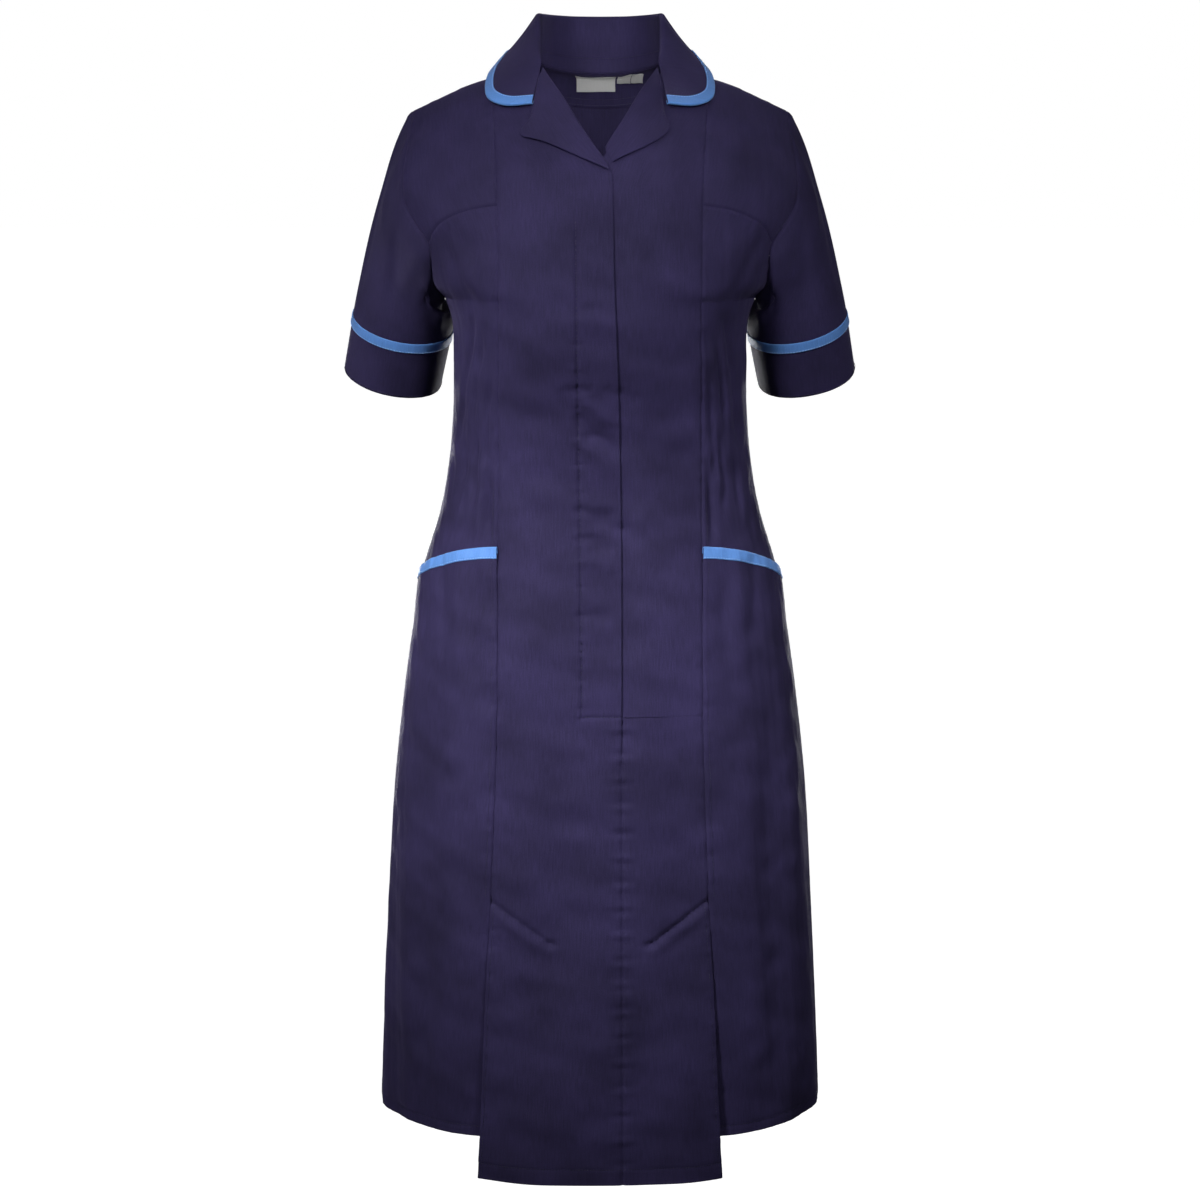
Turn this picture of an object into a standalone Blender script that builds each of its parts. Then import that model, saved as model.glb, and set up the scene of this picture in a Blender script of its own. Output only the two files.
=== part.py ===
"""Nurse uniform dress, UK size 8, filled out as worn with no wearer in it.

Metres, Z up. The front faces -Y and the wearer's right is -X. The origin is midway between
the neck ends of the shoulder seams, where the wearer's shoulders hold the dress up.

The body is one form in two coordinates. "around" runs from 0 at the centre front to 1 at
the side seam and 2 at the centre back, negative on the wearer's right. "level" is metres
below the underarm where it is negative, and above that the share of the height from the
underarm to the shoulder seam. Each cut piece is a patch of that form with its own wall.
"""

from math import asin, cos, pi, sin

import bmesh
import bpy
from mathutils import Vector

# ---- driving dimensions -------------------------------------------------------------
CLOTH = 0.0015              # wall of one worn layer, with its seams and turnings
FOLDED = 0.0016             # wall of the collar and lapels, two layers pressed together
BINDING = 0.0010            # wall of the pale binding
FACING = 0.0012             # wall of the neck facing and the layers inside the pleats
LABEL = 0.0010
SEAM = 0.00020              # each piece stops this far from its seam line
REST = 0.0004               # clearance of a layer that lies on another

UNDERARM = -0.226
NECK_HALF = 0.066           # half the width between the neck ends of the shoulder seams
SHOULDER_HALF = 0.183
SHOULDER_DROP = 0.054
SHOULDER_LIFT = 0.0046      # how far the shoulder's outer part stands above a straight slope
SHOULDER_Y = 0.003
BACK_NECK_DROP = 0.0115
FRONT_NECK_DROP = 0.020
BACK_NECK_REACH = 0.065     # how far the neckline goes behind and before the shoulder seam
FRONT_NECK_REACH = 0.052
RING_POWER = 2.3            # 2 is an ellipse, more is squarer
FRONT_ROLL = 1.7            # the chest's roll over to the shoulder seam
BACK_ROLL = 2.4

SIDE_HEM = -1.041
FRONT_HEM = -1.0790         # the front panel hangs lower and stands proud at its kick pleats
PLEAT_TOP = -0.804
PLEAT_FOOT = -0.844         # where the pleat's slanting top edge ends
PLEAT_INNER = 0.048
PLEAT_PROUD = 0.013

FLY_END = -0.621            # the front opening's lower end
BREAK_RIGHT = -0.1034       # height where the right front's edge starts to roll back
BREAK = -0.094              # height where the two roll lines cross, near the centre
BREAK_LEFT = -0.120         # height where the left front's edge leaves the fly
ROLL_TOP = 0.95             # level above which the edges bend round to the shoulder seams
GORGE = 0.0556              # how far out the roll lines end
YOKE_PRINCESS = 0.4257      # yoke seam's level at the princess seam and at the armhole
YOKE_ARMHOLE = 0.275
MOUTH_TOP = -0.4625         # pocket mouth at the princess seam, and its fall to the side
MOUTH_FALL = 0.037
POCKET_PROUD = 0.0026
POCKET_OVERLAP = 0.012      # how far the side front goes down behind the mouth
TRIM_WIDTH = 0.010
LEAF_BULGE = 0.0010         # how far the collar's leaf swells between its fold and its edge
FACING_LEVEL = 0.84         # lower edge of the back neck facing

CUFF_HEM = Vector((0.2075, 0.050, -0.3105))     # centre of the sleeve's hem ring
SLEEVE_AXIS = Vector((0.20, 0.29, -0.935)).normalized()
CUFF_HEIGHT = 0.060
CUFF_TOP_RADII = (0.0500, 0.0570)               # across and fore-and-aft
CUFF_HEM_RADII = (0.0490, 0.0520)

NAVY = (0.027, 0.023, 0.062, 1.0)
PALE = (0.130, 0.270, 0.580, 1.0)
WHITE = (0.520, 0.520, 0.530, 1.0)

# ---- sections: one row each ---------------------------------------------------------
# z, half width, front depth, back depth
BODY = (
    (-1.085, 0.2270, 0.160, 0.157),
    (-0.970, 0.2220, 0.153, 0.150),
    (-0.842, 0.2150, 0.145, 0.142),
    (-0.715, 0.2071, 0.136, 0.135),
    (-0.622, 0.1967, 0.128, 0.130),
    (-0.561, 0.1879, 0.122, 0.124),
    (-0.500, 0.1771, 0.113, 0.112),
    (-0.439, 0.1585, 0.104, 0.094),
    (-0.390, 0.1492, 0.101, 0.081),
    (-0.339, 0.1446, 0.107, 0.083),
    (-0.290, 0.1436, 0.121, 0.094),
    (-0.250, 0.1445, 0.129, 0.101),
    (-0.226, 0.1520, 0.130, 0.103),
)
HALF_WIDTH, FRONT, BACK = 1, 2, 3

# level, reach of the form's side, front cut and back cut as shares of that reach
ARMHOLE = (
    (0.00, 0.152, 1.000, 1.000),
    (0.06, 0.164, 0.975, 0.980),
    (0.15, 0.172, 0.940, 0.965),
    (0.27, 0.180, 0.910, 0.955),
    (0.40, 0.193, 0.920, 0.950),
    (0.51, 0.201, 0.930, 0.952),
    (0.60, 0.204, 0.930, 0.955),
    (0.70, 0.203, 0.933, 0.960),
    (0.82, 0.197, 0.946, 0.967),
    (0.92, 0.190, 0.965, 0.980),
    (1.00, 0.183, 1.000, 1.000),
)
REACH, FRONT_CUT, BACK_CUT = 1, 2, 3

# z, front princess seam, back princess seam, fly edge, fly stitching
SEAMS = (
    (-1.085, 0.1172, 0.128, 0.0219, -0.0177),
    (-0.897, 0.1110, 0.112, 0.0217, -0.0177),
    (-0.804, 0.1059, 0.104, 0.0216, -0.0177),
    (-0.625, 0.0996, 0.092, 0.0206, -0.0177),
    (-0.460, 0.0986, 0.080, 0.0202, -0.0190),
    (-0.318, 0.0972, 0.078, 0.0175, -0.0213),
    (-0.226, 0.0961, 0.083, 0.0140, -0.0222),
    (-0.177, 0.0960, 0.087, 0.0126, -0.0226),
    (-0.103, 0.0985, 0.093, 0.0117, -0.0229),
)
FRONT_PRINCESS, BACK_PRINCESS, FLY_EDGE, FLY_STITCH = 1, 2, 3, 4
SHOULDER_PRINCESS = 0.1065

# share from centre back to front end: neckline, roll line and outer edge of the collar
COLLAR = (
    (0.00, (0.0000, 0.0670, -0.0105), (0.0000, 0.0720, 0.0420), (0.0000, 0.1040, -0.0120)),
    (0.15, (0.0260, 0.0610, -0.0087), (0.0260, 0.0640, 0.0420), (0.0340, 0.0990, -0.0105)),
    (0.30, (0.0450, 0.0470, -0.0053), (0.0450, 0.0460, 0.0425), (0.0640, 0.0800, -0.0060)),
    (0.42, (0.0560, 0.0315, -0.0023), (0.0535, 0.0280, 0.0427), (0.0830, 0.0530, -0.0010)),
    (0.52, (0.0618, 0.0170, 0.0000), (0.0570, 0.0120, 0.0420), (0.0935, 0.0270, 0.0015)),
    (0.60, (0.0645, 0.0030, 0.0007), (0.0573, -0.0010, 0.0355), (0.1005, 0.0100, -0.0060)),
    (0.68, (0.0640, -0.0090, 0.0003), (0.0571, -0.0095, 0.0262), (0.1065, -0.0080, -0.0150)),
    (0.76, (0.0625, -0.0180, -0.0005), (0.0568, -0.0175, 0.0175), (0.1085, -0.0300, -0.0270)),
    (0.84, (0.0606, -0.0265, -0.0025), (0.0565, -0.0255, 0.0095), (0.1045, -0.0520, -0.0375)),
    (0.92, (0.0585, -0.0345, -0.0050), (0.0561, -0.0335, 0.0025), (0.0880, -0.0700, -0.0430)),
    (1.00, (0.0565, -0.0405, -0.0075), (0.0556, -0.0420, -0.0035), (0.0632, -0.0835, -0.0415)),
)
NECKLINE, ROLL, EDGE = 1, 2, 3

# share from the gorge to the break: roll line x, z and outer edge x, z, wearer's right
RIGHT_LAPEL = (
    (0.00, 0.0545, -0.0110, 0.0622, -0.0447),
    (0.18, 0.0457, -0.0240, 0.0660, -0.0600),
    (0.36, 0.0368, -0.0376, 0.0693, -0.0740),
    (0.52, 0.0262, -0.0541, 0.0530, -0.0782),
    (0.68, 0.0156, -0.0705, 0.0345, -0.0858),
    (0.84, 0.0030, -0.0880, 0.0155, -0.0940),
    (1.00, -0.0080, -0.1015, -0.0086, -0.1040),
)
# the same on the wearer's left, where the lapel goes under the right front
LEFT_LAPEL = (
    (0.00, 0.0545, -0.0110, 0.0590, -0.0440),
    (0.20, 0.0450, -0.0245, 0.0620, -0.0560),
    (0.38, 0.0362, -0.0380, 0.0639, -0.0666),
    (0.58, 0.0250, -0.0560, 0.0471, -0.0822),
    (0.80, 0.0140, -0.0725, 0.0290, -0.0895),
    (1.00, 0.0060, -0.0845, 0.0120, -0.0962),
)
ROLL_X, ROLL_Z, EDGE_X, EDGE_Z = 1, 2, 3, 4

# rows of the meshes, shared by neighbours so that their edges follow each other
SKIRT_Z = (-0.960, -0.880, PLEAT_TOP, -0.740, -0.680, -0.620, -0.560)
WAIST_Z = (-0.410, -0.360, -0.310, -0.265)
YOKE_RISE = (0.52, 0.62, 0.72, 0.81, 0.89, 0.95, 0.985, 1.0)
CHEST_RISE = (0.05, 0.14, 0.28, YOKE_PRINCESS)
BACK_RISE = (0.05, 0.14, 0.28, 0.42, 0.56, 0.70, FACING_LEVEL, 0.92, 0.965, 0.99, 1.0)


# ---- small helpers ------------------------------------------------------------------
def mix(a, b, share):
    return a + (b - a) * share


def ease(value):
    """0 to 1 with a soft start and end."""
    value = min(1.0, max(0.0, value))
    return value * value * (3.0 - 2.0 * value)


def spread(count):
    return [i / count for i in range(count + 1)]


def smooth(table, at, column):
    """A table's column read at any place, along a smooth curve through its rows."""
    last = len(table) - 1
    at = min(max(at, table[0][0]), table[last][0])
    i = next(k for k in range(last) if at <= table[k + 1][0])
    rows = [table[min(max(i + k, 0), last)] for k in (-1, 0, 1, 2)]

    def slope(low, high):
        return (high[column] - low[column]) * (1.0 / (high[0] - low[0]))

    start = slope(rows[0], rows[2])
    end = slope(rows[1], rows[3])
    width = rows[2][0] - rows[1][0]
    t = (at - rows[1][0]) / width
    return (rows[1][column] * (2 * t**3 - 3 * t**2 + 1) + rows[2][column] * (3 * t**2 - 2 * t**3)
            + start * width * (t**3 - 2 * t**2 + t) + end * width * (t**3 - t**2))


# ---- the form -----------------------------------------------------------------------
def reach_at(level):
    """Half the form's width at a level."""
    if level <= 0.0:
        return smooth(BODY, UNDERARM + level, HALF_WIDTH)
    return smooth(ARMHOLE, level, REACH)


def around_at(x, level, behind=False):
    """The coordinate around the form of a point x from the centre plane."""
    share = min(1.0, abs(x) / reach_at(level))
    turn = asin(share ** (RING_POWER / 2.0)) * 2.0 / pi
    turn = 2.0 - turn if behind else turn
    return turn if x >= 0.0 else -turn


def shoulder_z(x, behind):
    x = abs(x)
    if x >= NECK_HALF:
        share = (x - NECK_HALF) / (SHOULDER_HALF - NECK_HALF)
        return -SHOULDER_DROP * share + SHOULDER_LIFT * ease((share - 0.20) / 0.40)
    drop = BACK_NECK_DROP if behind else FRONT_NECK_DROP
    return -drop * (1.0 - (x / NECK_HALF) ** 2)


def neck_y(x, rise, behind):
    """Where a column of the form tops out: round the neck, or along the shoulder seam."""
    at_neck = max(0.0, 1.0 - (x / (NECK_HALF if behind else 0.072)) ** 2) ** 0.6
    below = max(0.0, 1.0 - (x / 0.16) ** 2) ** 2
    share = mix(below, at_neck, rise**8)
    return SHOULDER_Y + (BACK_NECK_REACH if behind else -FRONT_NECK_REACH) * share


def form(around, level):
    around = (around + 2.0) % 4.0 - 2.0
    side = 1.0 if around >= 0.0 else -1.0
    behind = abs(around) > 1.0
    angle = (2.0 - abs(around) if behind else abs(around)) * pi / 2.0
    across = sin(angle) ** (2.0 / RING_POWER)
    along = max(0.0, cos(angle)) ** (2.0 / RING_POWER)
    x = side * across * reach_at(level)
    z = min(UNDERARM + level, UNDERARM)
    depth = along * (smooth(BODY, z, BACK) if behind else -smooth(BODY, z, FRONT))
    if level <= 0.0:
        return Vector((x, depth, z))
    roll = BACK_ROLL if behind else FRONT_ROLL
    hold = max(0.0, 1.0 - level**roll) ** (1.0 / roll)
    y = depth * hold + neck_y(x, level, behind) * (1.0 - hold)
    return Vector((x, y, UNDERARM + level * (shoulder_z(x, behind) - UNDERARM)))


def form_normal(around, level):
    """Outward normal of the form, from neighbouring points."""
    turn, lift = 0.004, 0.006 if level < 0.97 else 0.0006
    around = (around + 2.0) % 4.0 - 2.0
    if level > 0.0 and abs(abs(around) - 1.0) < 0.04:   # keep off the armhole's plane
        side = 1.0 if around > 0.0 else -1.0
        around = side * (1.04 if abs(around) > 1.0 else 0.96)
    ahead = form(around, min(level + lift, 1.0)) - form(around, level - lift)
    aside = form(around + turn, level) - form(around - turn, level)
    normal = ahead.cross(aside).normalized()
    point = form(around, level)
    outward = Vector((point.x, point.y, 0.15 * max(level, 0.0)))
    normal = normal if normal.dot(outward) > 0.0 else -normal
    if level == 1.0:        # front and back share one upright plane along the shoulder seam
        normal.y = 0.0
        normal.normalize()
    return normal


def on_form(around, level, offset):
    point = form(around, level) + form_normal(around, level) * offset
    if level == 1.0:        # the shoulder seam, which front and back both stop short of
        point.y += SEAM if abs(around) > 1.0 else -SEAM
    return point


def level_at(x, z, behind=False):
    if z <= UNDERARM:
        return z - UNDERARM
    return min(1.0, (z - UNDERARM) / (shoulder_z(x, behind) - UNDERARM))


def front_spot(x, z):
    """The form's coordinates of a point seen from the front."""
    level = level_at(x, z)
    return around_at(x, level), level


# ---- seam lines ---------------------------------------------------------------------
def height(level):
    """z of a level near the princess seams and the fly."""
    if level <= 0.0:
        return UNDERARM + level
    return UNDERARM + level * (-0.016 - UNDERARM)


def front_princess(level):
    if level <= 0.0:
        return smooth(SEAMS, height(level), FRONT_PRINCESS)
    return mix(smooth(SEAMS, UNDERARM, FRONT_PRINCESS), SHOULDER_PRINCESS, level**3)


def back_princess(level):
    if level <= 0.0:
        return smooth(SEAMS, height(level), BACK_PRINCESS)
    return mix(smooth(SEAMS, UNDERARM, BACK_PRINCESS), SHOULDER_PRINCESS, level**1.5)


def front_cut(level):
    return smooth(ARMHOLE, level, REACH) * smooth(ARMHOLE, level, FRONT_CUT)


def back_cut(level):
    return smooth(ARMHOLE, level, REACH) * smooth(ARMHOLE, level, BACK_CUT)


def yoke_level(share):
    """Level of the yoke seam, from the princess seam (0) to the armhole (1)."""
    return YOKE_PRINCESS - (YOKE_PRINCESS - YOKE_ARMHOLE) * share**2.3


def mouth_z(share):
    """Height of the pocket mouth, from the princess seam (0) to the side seam (1)."""
    return MOUTH_TOP - MOUTH_FALL * share**1.5


def rolled_edge(start, level):
    """Distance from the centre of a roll line that starts at the break and ends at the neck."""
    if level <= ROLL_TOP:
        return mix(start, GORGE, (height(level) - BREAK) / (height(ROLL_TOP) - BREAK))
    return mix(GORGE, NECK_HALF, ((level - ROLL_TOP) / (1.0 - ROLL_TOP)) ** 1.5)


def right_front_edge(level):
    """x of the right front's free edge: the fly, then the lapel's roll line."""
    z = height(level)
    if z <= BREAK_RIGHT:
        return smooth(SEAMS, z, FLY_EDGE)
    if z <= BREAK:
        top = smooth(SEAMS, BREAK_RIGHT, FLY_EDGE)
        return mix(top, 0.0005, (z - BREAK_RIGHT) / (BREAK - BREAK_RIGHT))
    return -rolled_edge(-0.0005, level)


def left_front_edge(level):
    """x of the left front's free edge: under the fly, then the lapel's roll line."""
    z = height(level)
    if z < FLY_END:
        return smooth(SEAMS, z, FLY_EDGE) + 2 * SEAM
    if z <= BREAK_LEFT:
        return smooth(SEAMS, z, FLY_STITCH) + 0.003
    if z <= BREAK:
        return mix(-0.0197, -0.0020, (z - BREAK_LEFT) / (BREAK - BREAK_LEFT))
    return rolled_edge(-0.0020, level)


# ---- how far each layer lies from the form ------------------------------------------
def kick(z):
    """How far the front panel stands proud of the sides below the pleats' tops."""
    share = max(0.0, (PLEAT_TOP - z) / (PLEAT_TOP - FRONT_HEM))
    return PLEAT_PROUD * share**1.4


def right_front_lift(around, level):
    return kick(height(level))


def left_front_lift(around, level):
    """The left front dips to pass under the right one."""
    z = height(level)
    sunk = CLOTH + 2 * REST
    x = form(around, level).x - right_front_edge(level)
    dip = sunk * (1.0 - ease((x - 0.007) / 0.016))
    return kick(z) - dip * (1.0 - ease((FLY_END - 0.016 - z) / 0.035))


def pocket_lift(share, z):
    """The lower side front stands proud at the pocket's mouth."""
    return POCKET_PROUD * (1.0 - ease((mouth_z(share) - z) / 0.060))


def behind_pocket(share, z):
    """The layer behind the pocket's mouth, which is the pocket's own back."""
    if z >= mouth_z(share):
        return 0.0
    return pocket_lift(share, z) - CLOTH - 2.6 * REST


# ---- meshes -------------------------------------------------------------------------
def material(name, color, roughness):
    made = bpy.data.materials.new(name)
    made.use_nodes = True
    shader = made.node_tree.nodes["Principled BSDF"]
    shader.inputs["Base Color"].default_value = color
    shader.inputs["Roughness"].default_value = roughness
    shader.inputs["Metallic"].default_value = 0.0
    return made


def closed_wall(name, outer, inner, look, ring=False):
    """A closed body between two grids of points. A ring joins its first and last column."""
    rows, columns = len(outer), len(outer[0])
    mesh = bmesh.new()
    out = [[mesh.verts.new(point) for point in row] for row in outer]
    back = [[mesh.verts.new(point) for point in row] for row in inner]
    steps = columns if ring else columns - 1
    for r in range(rows - 1):
        for c in range(steps):
            d = (c + 1) % columns
            mesh.faces.new((out[r][c], out[r][d], out[r + 1][d], out[r + 1][c]))
            mesh.faces.new((back[r][c], back[r + 1][c], back[r + 1][d], back[r][d]))
    for r in (0, rows - 1):
        for c in range(steps):
            d = (c + 1) % columns
            mesh.faces.new((out[r][c], back[r][c], back[r][d], out[r][d]))
    if not ring:
        for c in (0, columns - 1):
            for r in range(rows - 1):
                mesh.faces.new((out[r][c], out[r + 1][c], back[r + 1][c], back[r][c]))
    bmesh.ops.recalc_face_normals(mesh, faces=mesh.faces)
    data = bpy.data.meshes.new(name)
    mesh.to_mesh(data)
    mesh.free()
    data.shade_smooth()
    data.set_sharp_from_angle(angle=0.9)
    made = bpy.data.objects.new(name, data)
    made.data.materials.append(look)
    bpy.context.collection.objects.link(made)
    return made


def grid_normals(points, ring=False):
    """Normals of a grid of points, from each point's neighbours."""
    rows, columns = len(points), len(points[0])
    normals = []
    for r in range(rows):
        line = []
        for c in range(columns):
            after = (c + 1) % columns if ring else min(c + 1, columns - 1)
            before = (c - 1) % columns if ring else max(c - 1, 0)
            down = points[min(r + 1, rows - 1)][c] - points[max(r - 1, 0)][c]
            line.append(down.cross(points[r][after] - points[r][before]).normalized())
        normals.append(line)
    return normals


def wall_of_points(name, points, look, wall, toward, ring=False):
    """A wall that goes from the points to one side, the one that faces "toward"."""
    normals = grid_normals(points, ring)
    middle = len(points) // 2
    sign = 1.0 if normals[middle][0].dot(toward(points[middle][0])) > 0.0 else -1.0
    inner = [[p + n * sign * wall for p, n in zip(row, line)] for row, line in zip(points, normals)]
    return closed_wall(name, points, inner, look, ring)


def patch(name, look, rows, columns, spot, lift, wall=CLOTH):
    """A cut piece. spot gives form coordinates, and lift the height of its outer face."""
    outer, inner = [], []
    for row in rows:
        places = [spot(column, row) for column in columns]
        lifts = [lift(*place) for place in places]
        outer.append([on_form(*place, up) for place, up in zip(places, lifts)])
        inner.append([on_form(*place, up - wall) for place, up in zip(places, lifts)])
    return closed_wall(name, outer, inner, look)


def trimmed(start, end, share, level):
    """A place between two seams, stopping short of each by the seam clearance."""
    girth = reach_at(level) * pi / 2.0
    step = SEAM / girth * (1.0 if end > start else -1.0)
    return mix(start + step, end - step, share)


def flat(around, level):
    return 0.0


# ---- front --------------------------------------------------------------------------
def below_levels(foot, pieces):
    return [z - UNDERARM for z in (foot, *pieces)]


def front_levels():
    low = below_levels(FRONT_HEM, (SIDE_HEM, *SKIRT_Z, -0.510, MOUTH_TOP, *WAIST_Z, UNDERARM))
    return low + list(CHEST_RISE) + list(YOKE_RISE)


def build_fronts(look):
    def right(share, level):
        inner = around_at(right_front_edge(level), level)
        outer = around_at(-front_princess(level), level)
        return trimmed(inner, outer, share, level), level

    def left(share, level):
        inner = around_at(left_front_edge(level), level)
        outer = around_at(front_princess(level), level)
        return trimmed(inner, outer, share, level), level

    levels = front_levels()
    patch("front_right", look, levels, (0.0, 0.10, 0.28, 0.52, 0.76, 1.0), right, right_front_lift)
    split = [level for level in levels if level < FLY_END - UNDERARM - 0.02]
    split += [FLY_END - 0.0150 - UNDERARM, FLY_END + 0.0010 - UNDERARM]
    split += [level for level in levels if level > FLY_END - UNDERARM + 0.02]
    patch("front_left", look, split, (0.0, 0.16, 0.36, 0.56, 0.78, 1.0), left, left_front_lift)


def build_yoke(name, look, side):
    def spot(share, rise):
        level = mix(yoke_level(share), 1.0, rise)
        if rise == 0.0:
            level += 2 * SEAM / abs(UNDERARM)
        inner = around_at(side * front_princess(level), level)
        outer = around_at(side * front_cut(level), level)
        return trimmed(inner, outer, share, level), level

    rises = [0.0] + [(r - YOKE_PRINCESS) / (1.0 - YOKE_PRINCESS) for r in YOKE_RISE]
    patch(name, look, rises, spread(5), spot, flat)


def side_inner(side, level):
    return around_at(side * front_princess(level), level)


def side_outer(side, level):
    return side * (1.0 if level <= 0.0 else abs(around_at(front_cut(level), level)))


def build_side_front(name, look, side):
    """From the yoke seam down past the pocket's mouth, behind the lower side front."""
    def spot(share, row):
        kind, value = row
        if kind == "mouth":
            level = mouth_z(share) + value - UNDERARM
        elif kind == "chest":
            level = yoke_level(share) * value
        else:
            level = value - UNDERARM
        return trimmed(side_inner(side, level), side_outer(side, level), share, level), level

    def lift(around, level):
        if level > 0.0:
            return 0.0
        share = side_share(side, around, level)
        return behind_pocket(share, UNDERARM + level)

    rows = [("mouth", -POCKET_OVERLAP), ("mouth", 0.0)] + [("level", z) for z in WAIST_Z]
    rows += [("level", UNDERARM)] + [("chest", rise / YOKE_PRINCESS) for rise in CHEST_RISE]
    patch(name, look, rows, spread(5), spot, lift)


def side_share(side, around, level):
    inner, outer = side_inner(side, level), side_outer(side, level)
    return min(1.0, max(0.0, (around - inner) / (outer - inner)))


def build_pocket(name, look, side):
    """The pocket's back, which hangs from the side front behind the lower side front."""
    def spot(share, row):
        z = side_row(share, row)
        if row == MOUTH_TOP:
            z -= POCKET_OVERLAP + 2 * SEAM
        level = z - UNDERARM
        return trimmed(side_inner(side, level), side_outer(side, level), share, level), level

    def lift(around, level):
        return behind_pocket(side_share(side, around, level), UNDERARM + level)

    patch(name, look, (*SKIRT_Z[-2:], -0.510, MOUTH_TOP), spread(5), spot, lift, wall=0.0010)


def side_row(share, row):
    """Height of a row of the lower side front: level at the hem, along the mouth at the top."""
    blend = SKIRT_Z[-1]
    if row <= blend:
        return row
    return mix(blend, mouth_z(share), (row - blend) / (MOUTH_TOP - blend))


def build_side_skirt(name, look, side):
    """The lower side front, from the hem to the pocket's mouth."""
    def spot(share, row):
        level = side_row(share, row) - UNDERARM
        return trimmed(side_inner(side, level), side_outer(side, level), share, level), level

    def lift(around, level):
        return pocket_lift(side_share(side, around, level), UNDERARM + level)

    patch(name, look, (SIDE_HEM, *SKIRT_Z, -0.510, MOUTH_TOP), spread(5), spot, lift)


def build_pocket_trim(name, look, side):
    def spot(share, drop):
        level = mouth_z(share) - drop - UNDERARM
        return trimmed(side_inner(side, level), side_outer(side, level), share, level), level

    def lift(around, level):
        share = side_share(side, around, level)
        return pocket_lift(share, UNDERARM + level) + REST + BINDING

    patch(name, look, (TRIM_WIDTH, TRIM_WIDTH / 2, -0.0006), spread(5), spot, lift, wall=BINDING)


def build_kick_pleat(name, look, side):
    """The front panel's turned-under layer, straight behind it."""
    def spot(share, depth):
        z_hem = FRONT_HEM + 0.002
        x_out = smooth(SEAMS, z_hem, FRONT_PRINCESS)
        x = mix(x_out, PLEAT_INNER, share)
        top = mix(PLEAT_TOP, PLEAT_FOOT, share) - 0.006
        z = mix(z_hem, top, depth)
        x = mix(smooth(SEAMS, z, FRONT_PRINCESS) - 0.0008, PLEAT_INNER, share)
        level = z - UNDERARM
        return around_at(side * x, level), level

    def lift(around, level):
        return kick(UNDERARM + level) - CLOTH - REST

    patch(name, look, spread(4), spread(2), spot, lift, wall=FACING)


def build_pleat_underlay(name, look, side):
    """The side front's extension behind the pleat."""
    def spot(share, depth):
        top = mix(PLEAT_TOP, PLEAT_FOOT, share) - 0.006
        z = mix(SIDE_HEM, top, depth)
        level = z - UNDERARM
        x = mix(smooth(SEAMS, z, FRONT_PRINCESS) - 0.0002, PLEAT_INNER, share)
        return around_at(side * x, level), level

    def lift(around, level):
        return min(0.0, kick(UNDERARM + level) - CLOTH - FACING - 2.4 * REST)

    patch(name, look, spread(4), spread(2), spot, lift, wall=FACING)


# ---- back ---------------------------------------------------------------------------
def back_levels():
    low = below_levels(SIDE_HEM, (*SKIRT_Z, -0.504, MOUTH_TOP, *WAIST_Z, UNDERARM))
    return low + list(BACK_RISE)


def build_back(look):
    def spot_of(side):
        def spot(share, level):
            inner = around_at(side * back_princess(level), level, behind=True)
            outer = side
            if level > 0.0:
                outer = around_at(side * back_cut(level), level, behind=True)
            if level == 1.0:
                outer = side
            return trimmed(inner, outer, share, level), level
        return spot

    patch("back_centre", look, back_levels(), spread(8), back_centre_spot, flat)
    for word, side in (("right", -1.0), ("left", 1.0)):
        patch(f"side_back_{word}", look, back_levels(), spread(5), spot_of(side), flat)


# ---- sleeves ------------------------------------------------------------------------
def armhole_places(side):
    """Form coordinates round the armhole: underarm, front, shoulder, back."""
    places = [(side, 0.0)]
    low = [YOKE_ARMHOLE * rise / YOKE_PRINCESS for rise in CHEST_RISE]
    high = [mix(YOKE_ARMHOLE, 1.0, (r - YOKE_PRINCESS) / (1.0 - YOKE_PRINCESS)) for r in YOKE_RISE]
    for level in low + high:
        places.append((around_at(side * front_cut(level), level), level))
    for level in reversed(BACK_RISE[:-1]):
        places.append((around_at(side * back_cut(level), level, behind=True), level))
    return places


def armhole_ring(side):
    """Points just off the body's edge, all the way round."""
    edge = [form(*place) for place in armhole_places(side)]
    centre = sum(edge, Vector()) / len(edge)
    ring = []
    for i, point in enumerate(edge):
        tangent = (edge[(i + 1) % len(edge)] - edge[i - 1]).normalized()
        normal = form_normal(*armhole_places(side)[i])
        away = normal.cross(tangent).normalized()
        inward = centre + Vector((side * 0.03, 0.0, 0.0)) - point
        away = away if away.dot(inward) > 0.0 else -away
        ring.append(point + away * 3 * SEAM)
    return ring


def ring_shares(ring, top):
    """Each ring point's share of the way round, with the shoulder seam at one half."""
    lengths = [0.0]
    for i in range(len(ring)):
        lengths.append(lengths[-1] + (ring[(i + 1) % len(ring)] - ring[i]).length)
    half, whole = lengths[top], lengths[-1]
    shares = []
    for i in range(len(ring)):
        done = lengths[i]
        shares.append(0.5 * done / half if i <= top else 0.5 + 0.5 * (done - half) / (whole - half))
    return shares


def sleeve_frame(side):
    axis = Vector((side * SLEEVE_AXIS.x, SLEEVE_AXIS.y, SLEEVE_AXIS.z))
    across = Vector((side, 0.0, 0.0))
    across = (across - axis * across.dot(axis)).normalized()
    fore = Vector((0.0, -1.0, 0.0))
    fore = (fore - axis * fore.dot(axis) - across * fore.dot(across)).normalized()
    hem = Vector((side * CUFF_HEM.x, CUFF_HEM.y, CUFF_HEM.z))
    return axis, across, fore, hem


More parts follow.
